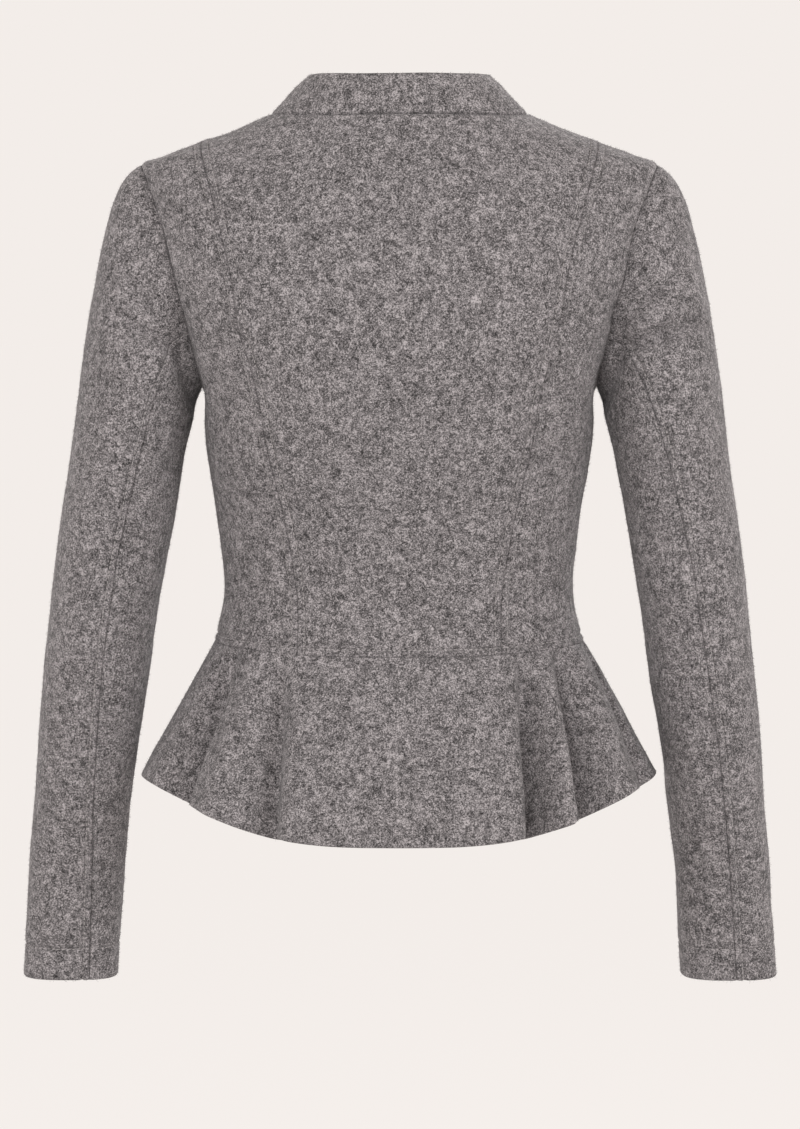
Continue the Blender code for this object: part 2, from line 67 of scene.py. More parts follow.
# Fineness of the shells
MESH = 0.0034  # spacing of the mesh away from seams
DENSE = 4  # points worked out for each step of the solids, before spacing them
SIDE_STEPS, ARMHOLE_STEPS, TIP_STEPS, NECK_STEPS = 7 * DENSE, 12 * DENSE, 6 * DENSE, 3 * DENSE
BACK_NECK_STEPS, FRONT_NECK_STEPS = 10 * DENSE, 6 * DENSE
COLLAR_STEPS, PEPLUM_STEPS = 5 * DENSE, 10 * DENSE
PEPLUM_BACK_STEPS, PEPLUM_FRONT_STEPS = 72 * DENSE, 30 * DENSE
CAP_STEPS, TUBE_STEPS, ROUND_STEPS = 7 * DENSE, 20 * DENSE, 24 * DENSE
EDGE_SHARE = 0.45  # of a short row's length that the close lines beside one edge may take
RIM_STEPS = 4  # round the edge of the cloth
THREAD_SIDES = 6

# Edges of a piece: how far the rounding reaches over the cloth, how deep and how wide the dip
# along it is, and how far from it its rows of topstitching run
Edge = namedtuple("Edge", "rounding dip width rows")
TOPSTITCH = 0.0056
CUFF_STITCH = 0.0260
PRESSED = Edge(0.00042, 0.0009, 0.0012, (TOPSTITCH,))  # seam pressed open, stitched beside it
WAIST_SEAM = Edge(0.00026, 0.0004, 0.0012, (TOPSTITCH,))
PLAIN_SEAM = Edge(0.00022, 0.0003, 0.0020, ())
SIDE_SEAM = Edge(0.00050, 0.0005, 0.0022, ())  # with the armhole
NECK_SEAM = Edge(0.00085, 0.0011, 0.0010, ())  # with the shoulder
ELBOW_SEAM = Edge(0.00050, 0.0008, 0.0013, (TOPSTITCH,))
FREE_EDGE = Edge(0.00115, 0.0, 0.0010, ())
STITCHED_EDGE = Edge(0.00115, 0.0, 0.0010, (TOPSTITCH,))
CUFF_EDGE = Edge(0.00130, 0.0, 0.0010, (CUFF_STITCH,))
# Distances of the mesh's close lines from an edge
SEAM = (0.0, 0.0009, 0.0022, 0.0044)
SEWN = (0.0, 0.0008, 0.0020, 0.0042, TOPSTITCH - 0.0006, TOPSTITCH, TOPSTITCH + 0.0007, 0.0082)
HEMMED = (0.0, 0.003, CUFF_STITCH - 0.0012, CUFF_STITCH, CUFF_STITCH + 0.0012)
FREE = (0.0, 0.0030)
ALLOWANCE_LIFT = 0.00035  # the seam allowance under the cloth lifts it
ALLOWANCE_FADE = 0.0022
SEWN_DEPTH, SEWN_WIDTH = 0.0017, 0.0011  # the dip that topstitching pulls
STITCH_PITCH, STITCH_LENGTH, STITCH_RADIUS = 0.0038, 0.0028, 0.00036
# Rings along a stitch: place along it, thickness and height over the cloth, as shares
StitchRing = namedtuple("StitchRing", "place thick rise")
STITCH_RINGS = (
    StitchRing(0.0, 0.30, -0.8),
    StitchRing(0.22, 0.95, 0.1),
    StitchRing(0.5, 1.0, 0.35),
    StitchRing(0.78, 0.95, 0.1),
    StitchRing(1.0, 0.30, -0.8),
)

# Rings of the bodice, from the waist seam to the neckline, each a squarish oval.
Ring = namedtuple("Ring", "z_back z_side z_front half_width y_back y_side y_front square")
BODICE_RINGS = (
    Ring(-0.402, -0.398, -0.400, 0.1400, 0.080, -0.004, -0.092, 2.20),  # waist seam
    Ring(-0.361, -0.359, -0.361, 0.1326, 0.073, -0.006, -0.088, 2.20),  # waist
    Ring(-0.306, -0.306, -0.306, 0.1380, 0.081, -0.006, -0.104, 2.25),  # ribs
    Ring(-0.246, -0.250, -0.248, 0.1460, 0.097, -0.006, -0.127, 2.35),  # bust
    Ring(-0.203, -0.211, -0.206, 0.1500, 0.104, -0.005, -0.123, 2.45),  # underarm
    Ring(-0.160, -0.156, -0.166, 0.1700, 0.108, -0.004, -0.112, 2.40),  # shoulder blades
    Ring(-0.119, -0.095, -0.132, 0.1860, 0.106, -0.003, -0.099, 2.20),  # mid armhole
    Ring(-0.078, -0.0395, -0.108, 0.1930, 0.098, -0.002, -0.089, 1.90),  # shoulder tip
    Ring(-0.035, -0.0215, -0.090, 0.1480, 0.084, -0.001, -0.082, 1.90),  # mid shoulder
    Ring(-0.001, 0.000, -0.072, 0.0965, 0.068, 0.000, -0.076, 2.00),  # neckline
)
UNDERARM, TIP, NECK = 4, 7, 9  # levels: places in the list above

PEPLUM_RINGS = (
    BODICE_RINGS[0],
    Ring(-0.435, -0.424, -0.430, 0.1540, 0.094, -0.004, -0.105, 2.15),
    Ring(-0.468, -0.450, -0.460, 0.1678, 0.110, -0.004, -0.120, 2.10),
    Ring(-0.502, -0.476, -0.491, 0.1818, 0.126, -0.004, -0.136, 2.10),
    Ring(-0.535, -0.501, -0.522, 0.1950, 0.140, -0.004, -0.150, 2.10),  # hem
)

COLLAR_RINGS = (
    BODICE_RINGS[NECK],
    Ring(0.0105, 0.0105, -0.0635, 0.0868, 0.0655, 0.000, -0.0725, 2.03),
    Ring(0.0210, 0.0210, -0.0530, 0.0776, 0.0625, 0.000, -0.0690, 2.07),
    Ring(0.0290, 0.0300, -0.0450, 0.0676, 0.0585, 0.000, -0.0645, 2.10),  # top edge
)

# Flutes of the peplum, in degrees from the centre back. The wearer's left is positive.
# Each is a ridge (positive height) or a valley. It leans from its place at the waist seam to
# its place at the hem, and its two spreads are its width on either side there.
Flute = namedtuple("Flute", "waist hem spread_below spread_above height")
FLUTES = (
    Flute(-148, -148, 8, 8, -0.008),
    Flute(-131, -131, 8, 8, 0.008),
    Flute(-114, -114, 7, 7, -0.014),
    Flute(-94, -92, 6, 6, 0.002),
    Flute(-86, -73, 5, 3.6, -0.029),
    Flute(-68, -58, 5.5, 5.5, 0.007),
    Flute(-56, -46.6, 5.2, 3.4, -0.034),
    Flute(-47, -39.5, 3.6, 3.6, 0.010),
    Flute(-39, -31.5, 5.4, 2.3, -0.033),
    Flute(-32, -25, 3, 8, 0.004),
    Flute(37, 30, 2.8, 4.8, -0.021),
    Flute(47, 44.5, 4.5, 4.5, 0.009),
    Flute(59, 59.5, 4.0, 5.6, -0.033),
    Flute(80, 80, 9, 9, 0.003),
    Flute(105, 105, 7, 7, -0.015),
    Flute(121, 121, 8, 8, 0.008),
    Flute(137, 137, 7, 7, -0.013),
    Flute(154, 154, 8, 8, 0.005),
)
FLUTE_LIFT_BACK, FLUTE_LIFT_SIDE = 0.12, 0.60  # how far a ridge lifts the hem, of its height
FLUTE_GROWTH = 0.6  # below 1, a flute opens quickly under the waist seam
PEPLUM_PLUMB = (-200, -170, -90, 0, 90, 170, 200)  # degrees where its lines don't lean

# Back seam over the shoulder blade: level of the bodice and degrees from the centre back.
BACK_SEAM = (
    (0, 32.2),
    (1, 34.1),
    (2, 36.2),
    (3, 39.6),
    (4, 41.1),
    (5, 41.0),
    (6, 41.0),
    (7, 47.5),
    (7.7, 66.0),
    (8.07, 90.0),
)
ARMHOLE_BACK, ARMHOLE_FRONT = 26.0, 34.0  # degrees that it is cut in from the side

# Sleeve below the cap, on the wearer's left: level sections, each a squarish oval
Tube = namedtuple("Tube", "x y z half_width half_depth square")
SLEEVE_TUBES = (
    Tube(0.2071, 0.000, -0.262, 0.0433, 0.056, 2.10),  # upper arm
    Tube(0.2189, 0.002, -0.337, 0.0419, 0.052, 2.10),  # elbow
    Tube(0.2292, -0.002, -0.413, 0.0402, 0.047, 2.15),
    Tube(0.2395, -0.010, -0.490, 0.0377, 0.042, 2.20),
    Tube(0.2474, -0.020, -0.567, 0.0362, 0.037, 2.30),
    Tube(0.2546, -0.032, -0.661, 0.0362, 0.031, 2.60),  # cuff
)
CUFF = len(SLEEVE_TUBES)

# The sleeve's cap leaves the armhole in these directions and meets the tube with this pull
Leave = namedtuple("Leave", "x y z pull")
LEAVE_TOP = Leave(0.092, 0.000, -0.014, 0.38)
LEAVE_BACK = Leave(0.060, 0.030, -0.055, 0.13)
LEAVE_UNDER = Leave(0.012, 0.000, -0.033, 0.05)
LEAVE_FRONT = Leave(0.060, -0.030, -0.055, 0.13)

# Degrees of the sleeves' seams round the arm at each level: 0 is outside and 90 behind
BACK_SEAM_LEFT = (120, 106, 100, 99, 105, 112, 116)
BACK_SEAM_RIGHT = (120, 97, 90, 87, 85, 84, 83)
FORE_SEAM = (240, 232, 230, 230, 230, 230, 230)

# Creases. Each row is a soft trough (positive depth) or ridge along a smooth line through three
# places of a surface, each given as degrees and level. Its width to either side and its depth
# are in millimetres.
Crease = namedtuple("Crease", "start middle end width depth")
RIGHT_SLEEVE_CREASES = (
    ((120, 0.10), (90, 0.38), (27, 0.68), 5.6, 6.8),
    ((104, 0.02), (86, 0.20), (46, 0.44), 7.8, 6.6),
    ((111, 0.08), (81, 0.36), (33, 0.58), 5.5, -4.0),
    ((92, 0.02), (80, 0.06), (62, 0.26), 7.5, -1.6),
    ((106, 0.40), (76, 0.56), (46, 0.70), 8.0, -1.6),
    ((40, 0.30), (22, 0.42), (4, 0.40), 6.5, 2.2),
    ((104, 0.05), (140, 0.12), (190, 0.10), 8.0, 5.8),
    ((150, 1.62), (118, 1.84), (84, 1.96), 9.5, 1.4),
    ((96, 2.70), (72, 2.90), (38, 2.95), 11.0, 1.2),
    ((134, 3.60), (100, 3.75), (70, 3.66), 12.0, -1.2),
    ((66, 4.70), (92, 4.84), (124, 4.78), 10.0, 1.3),
    # the bend of the elbow and the front of the arm
    ((222, 1.70), (262, 1.82), (304, 1.70), 7.0, 3.0),
    ((236, 2.02), (272, 2.06), (310, 2.16), 8.0, 3.4),
    ((228, 2.36), (258, 2.30), (290, 2.38), 6.5, 2.2),
    ((240, 1.90), (270, 1.94), (300, 1.98), 6.0, -1.6),
    ((-34, 0.62), (-82, 0.40), (-122, 0.16), 6.5, 3.6),
    ((-46, 0.40), (-80, 0.22), (-106, 0.06), 8.0, 2.6),
    ((-40, 0.52), (-78, 0.31), (-112, 0.12), 6.0, -1.6),
)
LEFT_SLEEVE_CREASES = (
    ((52, 0.52), (89, 0.36), (120, 0.12), 5.8, 6.0),
    ((54, 0.26), (72, 0.30), (90, 0.24), 10.0, 4.6),
    ((92, 0.46), (108, 0.42), (126, 0.44), 8.5, -2.2),
    ((104, 0.05), (142, 0.14), (190, 0.12), 8.5, 6.2),
    ((22, 0.66), (50, 0.72), (76, 0.66), 10.0, 1.3),
    ((152, 0.40), (150, 0.80), (146, 1.30), 10.0, 2.0),
    ((70, 1.72), (104, 1.88), (138, 1.78), 10.0, 1.6),
    ((60, 2.36), (86, 2.30), (120, 2.46), 12.0, -1.2),
    ((44, 3.30), (78, 3.16), (108, 3.24), 11.0, 1.2),
    ((80, 4.30), (110, 4.42), (136, 4.30), 12.0, 1.3),
    # the bend of the elbow and the front of the arm
    ((226, 1.78), (266, 1.90), (308, 1.80), 7.5, 3.2),
    ((232, 2.14), (266, 2.10), (300, 2.22), 7.0, 2.8),
    ((240, 2.46), (274, 2.44), (296, 2.52), 6.0, 1.6),
    ((236, 2.00), (268, 2.01), (298, 2.04), 6.0, -1.6),
    ((-30, 0.66), (-84, 0.37), (-118, 0.12), 7.0, 3.8),
    ((-60, 0.32), (-86, 0.18), (-104, 0.02), 7.5, 2.4),
    ((-50, 0.50), (-82, 0.28), (-112, 0.08), 6.0, -1.8),
)
BODICE_CREASES = (
    # back
    ((-36, 4.90), (-46, 5.10), (-56, 5.28), 9.5, 1.8),
    ((58, 4.96), (50, 4.78), (42, 4.60), 10.0, 1.8),
    ((-8, 0.10), (-17, 0.30), (-27, 0.46), 7.5, -1.4),
    ((10, 0.34), (16, 0.52), (28, 0.60), 9.0, -0.9),
    ((-30, 0.92), (-46, 1.00), (-62, 0.94), 8.5, 1.3),
    ((34, 1.10), (48, 1.02), (66, 1.08), 9.0, 1.4),
    ((-50, 1.60), (-60, 1.72), (-74, 1.70), 8.0, 1.0),
    ((14, 7.60), (0, 7.35), (-16, 7.64), 11.0, 0.9),
    # front
    ((112, 5.00), (124, 4.60), (138, 4.10), 8.5, 1.8),
    ((-114, 4.90), (-128, 4.50), (-140, 3.90), 9.0, 2.0),
    ((118, 1.00), (136, 0.92), (156, 1.06), 8.0, 1.6),
    ((-116, 1.06), (-134, 0.96), (-152, 0.90), 8.5, 1.4),
    ((126, 1.46), (142, 1.60), (160, 1.58), 9.0, 1.0),
    ((-130, 1.52), (-146, 1.44), (-160, 1.56), 8.0, 1.1),
)
SHOULDER_TIP_CREASES = (  # on both sides, filled out by the seam allowance
    ((68, 6.96), (90, 7.02), (112, 6.96), 5.8, -1.9),
    ((64, 7.34), (90, 7.38), (116, 7.34), 10.5, 2.1),
    ((60, 7.95), (90, 8.00), (120, 7.95), 13.0, -1.6),
)
PEPLUM_CREASES = (
    ((8, 0.95), (10, 0.60), (12, 0.25), 10.0, 1.0),
    ((-12, 0.98), (-9, 0.66), (-7, 0.30), 12.0, 0.9),
    ((22, 0.96), (23, 0.70), (24, 0.40), 9.0, -1.0),
)
CREASE_POINTS = 33
CREASE_START, CREASE_SPAN, CREASE_FADE = 0.06, 0.88, 0.7  # it rises and dies away as a half wave
CREASE_REACH = 3.0  # widths, beyond which a crease leaves the cloth alone

# The slow unevenness of felted cloth: size and height of its swells
Swell = namedtuple("Swell", "size height")
SWELLS = (Swell(0.070, 0.0012), Swell(0.028, 0.0006), Swell(0.011, 0.00022))
SWELL_SHIFT = 17.3  # moves each size of swell to other places
SCRAMBLE = (73856093, 19349663, 83492791)  # large odd numbers that mix a cell's place into a value
SCRAMBLE_AGAIN, SCRAMBLE_BITS = 1274126177, 0x7FFFFFFF
VALUE_BITS = 0xFFFF

# Nap: fibres for each square metre, and their sizes
NAP_DENSITY = 300000
NAP_LENGTH = (0.0008, 0.0028)
NAP_WIDTH = (0.00007, 0.00015)
NAP_LIFT = (4, 50)  # degrees off the cloth

# Buttons down the centre front
BUTTON_RADIUS, BUTTON_THICKNESS = 0.010, 0.0042
BUTTON_SEAT = 0.0003
BUTTON_COUNT = 6
BUTTON_TOP, BUTTON_PITCH = -0.088, 0.0585
BUTTON_SIDES, BUTTON_RINGS = 64, 22
CENTRE_STEPS = 400  # places looked at down the centre front
# Radius and height of a button's face from its middle out, then on round its edge and under it,
# as shares of its own radius and thickness
BUTTON_FACE = (
    (0.0, 0.58),
    (0.30, 0.58),
    (0.55, 0.62),
    (0.66, 0.74),
    (0.78, 0.97),
    (0.86, 1.0),
    (0.94, 0.93),
    (1.0, 0.70),
)
BUTTON_MIDDLE = 0.02  # radius of the innermost ring of its mesh
BUTTON_EDGE = ((1.0, 0.36), (0.93, 0.10), (0.80, 0.0), (BUTTON_MIDDLE, 0.0))
# The four eyes: degrees round the button, then place, radius, depth and slope as shares too
EYE_TURNS = (45, 135, 225, 315)
EYE_PLACE, EYE_RADIUS, EYE_DEPTH, EYE_SLOPE = 0.20, 0.085, 0.42, 1.6
# The sewing from eye to eye: its rows, its thread, and its height as shares of the thickness
SEWING_ROWS, SEWING_RADIUS, SEWING_POINTS = (-0.00016, 0.0, 0.00016), 0.00024, 9
SEWING_LOW, SEWING_RISE = 0.42, 0.30

# Buttonholes: their middle lies on the wearer's right of the centre line
HOLE_CENTRE, HOLE_HALF_LENGTH, HOLE_HALF_WIDTH = 0.0055, 0.0095, 0.0011
HOLE_THREAD, HOLE_LIFT, HOLE_POINTS = 0.0007, 0.0001, 49
HOLE_SQUARE = 0.5  # below 1 makes the ring's ends blunt
BAR_HALF_WIDTH, BAR_THREAD, BAR_LIFT, BAR_POINTS = 0.00165, 0.00077, 0.0002, 7
HOLE_SEARCH, HOLE_SEARCH_STEPS = 1.25 * math.pi, 200  # round the right front from the centre


def through_rows(rows, at):
    """The smooth line through the rows of a table, read at the places at (0 is the first)."""
    table = np.array([tuple(row) for row in rows], float)
    table = np.vstack([2 * table[0] - table[1], table, 2 * table[-1] - table[-2]])
    at = np.asarray(at, float)
    start = np.clip(np.floor(at).astype(int), 0, len(rows) - 2)
    t = (at - start)[..., None]
    a, b, c, d = (table[start + i] for i in range(4))
    bend = 2 * a - 5 * b + 4 * c - d
    twist = 3 * (b - c) + d - a
    return b + 0.5 * t * ((c - a) + t * (bend + t * twist))


def unit(vectors):
    return vectors / np.linalg.norm(vectors, axis=-1, keepdims=True)


def eased(share):
    """A share from 0 to 1 that sets off and arrives softly."""
    return share * share * (3 - 2 * share)


def oval(angle, square):
    """Sine and cosine of an angle, and the reach that makes a round section squarish."""
    sine, cosine = np.sin(angle), np.cos(angle)
    return sine, cosine, (np.abs(sine) ** square + np.abs(cosine) ** square) ** (-1 / square)


def ring_point(ring, angle):
    """Points on squarish ovals. Angle 0 is the centre back and 90 degrees the wearer's left."""
    z_back, z_side, z_front, half_width, y_back, y_side, y_front, square = np.moveaxis(ring, -1, 0)
    sine, cosine, reach = oval(angle, square)
    behind = cosine >= 0
    depth = np.where(behind, y_back - y_side, y_side - y_front)
    z_end = np.where(behind, z_back, z_front)
    share = cosine**4 * (3 - 2 * cosine**2)
    return np.stack(
        [
            half_width * sine * reach,
            y_side + depth * cosine * reach,
            z_side + (z_end - z_side) * share,
        ],
        axis=-1,
    )


def bodice(angle, level):
    return ring_point(through_rows(BODICE_RINGS, level), angle)


def collar(angle, rise):
    """Rise 0 is the neckline and 1 the top edge."""
    return ring_point(through_rows(COLLAR_RINGS, rise * (len(COLLAR_RINGS) - 1)), angle)


def flute_height(hem_angle):
    """How far the hem stands out of, or into, the plain flare at each angle."""
    degrees = np.degrees(hem_angle)
    height = np.zeros_like(degrees)
    for flute in FLUTES:
        off = (degrees - flute.hem + 180) % 360 - 180
        spread = np.where(off < 0, flute.spread_below, flute.spread_above)
        height += flute.height * np.exp(-((off / spread) ** 2))
    return height


def waist_angle(hem_angle):
    """Where on the waist seam the flute line through an angle of the hem begins."""
    plumb = [(angle, angle) for angle in PEPLUM_PLUMB]
    places = sorted([(flute.hem, flute.waist) for flute in FLUTES] + plumb)
    hem, waist = np.radians(places).T
    return np.interp(hem_angle, hem, waist)


def flare(angle, drop):
    """The peplum without its flutes. Drop 0 is the waist seam and 1 the hem."""
    return ring_point(through_rows(PEPLUM_RINGS, drop * (len(PEPLUM_RINGS) - 1)), angle)


def peplum(hem_angle, drop):
    """The flare with its flutes, which open out towards the hem."""
    hem_angle, drop = np.broadcast_arrays(np.asarray(hem_angle, float), np.asarray(drop, float))
    angle = waist_angle(hem_angle) * (1 - drop) + hem_angle * drop
    along = flare(angle + FLARE_STEP, drop) - flare(angle - FLARE_STEP, drop)
    outward = unit(np.stack([-along[..., 1], along[..., 0]], axis=-1))
    height = flute_height(hem_angle) * drop**FLUTE_GROWTH
    points = flare(angle, drop)
    points[..., :2] += outward * height[..., None]
    sideways = np.sin(angle) ** 2
    points[..., 2] += (FLUTE_LIFT_BACK * (1 - sideways) + FLUTE_LIFT_SIDE * sideways) * height
    return points


def armhole(turn):
    """The closed armhole. Turn 0 is the shoulder tip, 90 degrees the back, 180 the underarm."""
    sine = np.sin(turn)
    cut = np.radians(np.where(sine > 0, ARMHOLE_BACK, ARMHOLE_FRONT)) * sine
    level = (TIP + UNDERARM) / 2 + (TIP - UNDERARM) / 2 * np.cos(turn)
    return SIDE - cut, level


def tube(turn, level):
    """The sleeve below its cap, level 1 to CUFF."""
    x, y, z, half_width, half_depth, square = np.moveaxis(
        through_rows(SLEEVE_TUBES, level - 1), -1, 0
    )
    sine, cosine, reach = oval(turn, square)
    return np.stack([x + half_width * cosine * reach, y + half_depth * sine * reach, z], axis=-1)


def sleeve(turn, level):
    """The whole left sleeve: a cap from the armhole to level 1, then the tube."""
    turn, level = np.broadcast_arrays(np.asarray(turn, float), np.asarray(level, float))
    sine, cosine = np.sin(turn), np.cos(turn)
    shares = (
        (np.maximum(cosine, 0) ** 2, LEAVE_TOP),
        (np.maximum(sine, 0) ** 2, LEAVE_BACK),
        (np.maximum(-cosine, 0) ** 2, LEAVE_UNDER),
        (np.maximum(-sine, 0) ** 2, LEAVE_FRONT),
    )
    leave = sum(share[..., None] * np.array(row) for share, row in shares)
    start = bodice(*armhole(turn))
    one = np.ones_like(level)
    end = tube(turn, one)
    arrive = tube(turn, one + ARRIVE_STEP) - end
    arrive *= leave[..., 3:] / np.linalg.norm(arrive, axis=-1, keepdims=True)
    t = np.clip(level, 0, 1)[..., None]
    cap = (
        (1 + 2 * t) * (1 - t) ** 2 * start
        + t * (1 - t) ** 2 * leave[..., :3]
        + t**2 * (3 - 2 * t) * end
        - t**2 * (1 - t) * arrive
    )
    return np.where(level[..., None] < 1, cap, tube(turn, np.maximum(level, 1)))


def normals(surface, first, second, limits):
    """Unit normals of a surface. The second argument stays within its limits."""
    low = np.maximum(second - NORMAL_STEP, limits[0])
    high = np.minimum(second + NORMAL_STEP, limits[1])
    across = surface(first + NORMAL_STEP, second) - surface(first - NORMAL_STEP, second)
    along = surface(first, high) - surface(first, low)
    return unit(np.cross(across, along))


def bodice_normals(angle, level):
    return -normals(bodice, angle, level, (0, NECK))


def peplum_normals(angle, drop):
    return normals(peplum, angle, drop, (0, 1))


def collar_normals(angle, rise):
    return -normals(collar, angle, rise, (0, 1))


def sleeve_normals(turn, level):
    return -normals(sleeve, turn, level, (0, CUFF))


def mitre(one, other):
    """The shared direction of two walls that meet, long enough to keep their thickness."""
    middle = unit(one + other)
    return middle / np.maximum(MITRE_LEAST, (middle * one).sum(axis=-1, keepdims=True))


def waist_mitre(angle):
    start = np.zeros_like(angle)
    return mitre(bodice_normals(angle, start), normals(flare, angle, start, (0, 1)))


def neck_mitre(angle):
    end = np.full_like(angle, NECK)
    return mitre(bodice_normals(angle, end), collar_normals(angle, end * 0))


def armhole_mitre(turn):
    return mitre(bodice_normals(*armhole(turn)), sleeve_normals(turn, np.zeros_like(turn)))


def read_at(at, places, values):
    """Rows of values that are known at some places, read at others."""
    return np.stack([np.interp(at, places, column) for column in values.T], axis=-1)


def lengths_along(points):
    """Distances along each row of a grid of points, from its first point."""
    steps = np.linalg.norm(np.diff(points, axis=1), axis=-1)
    return np.concatenate([np.zeros((len(points), 1)), np.cumsum(steps, axis=1)], axis=1)


def evenly(surface, controls, steps):
    """Points of a line on a surface, evenly spaced. controls are rows of the two parameters."""
    fine = through_rows(controls, np.linspace(0, len(controls) - 1, LINE_DETAIL * len(controls)))
    travelled = lengths_along(surface(fine[:, 0], fine[:, 1])[None])[0]
    return read_at(np.linspace(0, travelled[-1], steps + 1), travelled, fine)


def joined(*lines):
    """Lines end to end, each shared point once."""
    return np.concatenate([lines[0], *(line[1:] for line in lines[1:])])


def filled(bottom, top, left, right):
    """The grid of surface parameters between four edges, rows from bottom to top."""
    across = np.linspace(0, 1, len(bottom))[:, None]
    up = np.linspace(0, 1, len(left))[:, None, None]
    low_bend = bottom - bottom[0] - (bottom[-1] - bottom[0]) * across
    high_bend = top - top[0] - (top[-1] - top[0]) * across
    straight = left[:, None] + (right - left)[:, None] * across
    return straight + (1 - up) * low_bend + up**TOP_FADE * high_bend


def side_line(sign):
    """Side seam then armhole, from the waist up. sign is 1 for the back and -1 for the front."""
    seam = evenly(bodice, ((SIDE, 0), (SIDE, UNDERARM)), SIDE_STEPS)
    turn = math.pi - np.linspace(0, math.pi, ARMHOLE_STEPS + 1)
    return joined(seam, np.stack(armhole(sign * turn), axis=1))


def upright(rows):
    """A line up the bodice through places given at each level, spaced like the side line."""
    below, above = rows[: UNDERARM + 1], rows[UNDERARM:]
    return joined(evenly(bodice, below, SIDE_STEPS), evenly(bodice, above, ARMHOLE_STEPS))


def back_seam_line():
    """The back seam from the waist up to the shoulder seam."""
    return upright([(math.radians(angle), level) for level, angle in BACK_SEAM])


def shoulder_line():
    """The shoulder seam from the sleeve to the neck, with the back seam's point on it."""
    crossing = BACK_SEAM[-1][0]
    outer = evenly(bodice, ((SIDE, TIP), (SIDE, crossing)), TIP_STEPS)
    inner = evenly(bodice, ((SIDE, crossing), (SIDE, NECK)), NECK_STEPS)
    return outer, inner


def angle_past_centre(surface_row, offset):
    """The angle at which a ring is offset metres to the wearer's left of the centre front."""
    return math.pi - math.asin(offset / surface_row.half_width)


def waist_line(start, end, steps):
    """Parameters along the waist seam."""
    return evenly(bodice, ((start, 0), (end, 0)), steps)


def front_edge(offset):
    """A front's edge, offset metres to the wearer's left of the centre, from the waist up."""
    rows = [(angle_past_centre(ring, offset), n) for n, ring in enumerate(BODICE_RINGS)]
    rows[-1] = (rows[-1][0], NECK - LAP_CORNER)
    return upright(rows)


def neck_angles():
    """Angles of the front neckline's points from the shoulder seam to the collar's end."""
    end = angle_past_centre(BODICE_RINGS[NECK], COLLAR_END)
    return evenly(bodice, ((SIDE, NECK), (end, NECK)), FRONT_NECK_STEPS)[:, 0]


def back_centre_grid():
    seam = back_seam_line()
    mirrored = seam * (-1, 1)
    inner = shoulder_line()[1]
    neckline = evenly(bodice, ((-SIDE, NECK), (SIDE, NECK)), BACK_NECK_STEPS)
    top = joined(inner * (-1, 1), neckline, inner[::-1])
    bottom = waist_line(mirrored[0, 0], seam[0, 0], len(top) - 1)
    return filled(bottom, top, mirrored, seam)


def back_side_grid():
    left, right = back_seam_line(), side_line(1)
    outer = shoulder_line()[0]
    bottom = waist_line(left[0, 0], right[0, 0], TIP_STEPS)
    return filled(bottom, outer[::-1], left, right)


def front_grid(past):
    """A left front whose edge runs past the centre front by that much."""
    left, right = side_line(-1), front_edge(-past)
    outer, inner = shoulder_line()
    neckline = np.stack([neck_angles(), np.full(FRONT_NECK_STEPS + 1, float(NECK))], axis=1)
    top = joined(outer, inner, neckline, right[-1:].repeat(2, axis=0))
    bottom = waist_line(left[0, 0], right[0, 0], len(top) - 1)
    return filled(bottom, top, left, right)


def tucked(points, directions):
    """Points of the left half. Close to the centre front they lie below the right front."""
    share = np.clip((LAP + LAP_RAMP - points[..., 0]) / LAP_RAMP, 0, 1)
    drop = LAP_DROP * eased(share) * (points[..., 1] < 0)
    return points - directions * drop[..., None]


def graded_rows(surface, grid, near_start, near_end):
    """The grid with its columns at set distances from its sides and evenly spaced between."""
    lengths = lengths_along(surface(grid[..., 0], grid[..., 1]))
    whole = lengths[:, -1]
    room = np.minimum(1, EDGE_SHARE * whole / max(near_start[-1], near_end[-1], MESH))
    start = room[:, None] * np.array(near_start)
    end = whole[:, None] - room[:, None] * np.array(near_end[::-1])
    count = max(2, math.ceil((end[:, 0] - start[:, -1]).max() / MESH))
    share = np.linspace(0, 1, count + 1)[1:-1]
    middle = start[:, -1:] + (end[:, :1] - start[:, -1:]) * share
    wanted = np.concatenate([start, middle, end], axis=1)
    return np.array([read_at(*row) for row in zip(wanted, lengths, grid)])


def graded(surface, grid, left, right, bottom, top):
    """A grid of surface parameters with close lines beside its four edges."""
    grid = graded_rows(surface, grid, left, right)
    return graded_rows(surface, grid.swapaxes(0, 1), bottom, top).swapaxes(0, 1)


def smooth_noise(points, size, seed):
    """Smooth noise from about -1 to 1 whose swells have that size, the same on each run."""
    at = points / size + seed * SWELL_SHIFT
    cell = np.floor(at).astype(np.int64)
    part = eased(at - cell)
    total = np.zeros(points.shape[:-1])
    for corner in np.ndindex(2, 2, 2):
        key = cell + np.array(corner)
        mixed = np.bitwise_xor.reduce(key * np.array(SCRAMBLE), axis=-1)
        mixed = ((mixed ^ (mixed >> 13)) * SCRAMBLE_AGAIN) & SCRAMBLE_BITS
        value = ((mixed ^ (mixed >> 16)) & VALUE_BITS) * 2 / VALUE_BITS - 1
        weight = np.prod(np.where(np.array(corner) == 1, part, 1 - part), axis=-1)
        total += weight * value
    return total


def swell_height(points):
    return sum(
        swell.height * smooth_noise(points, swell.size, n + 1) for n, swell in enumerate(SWELLS)
    )


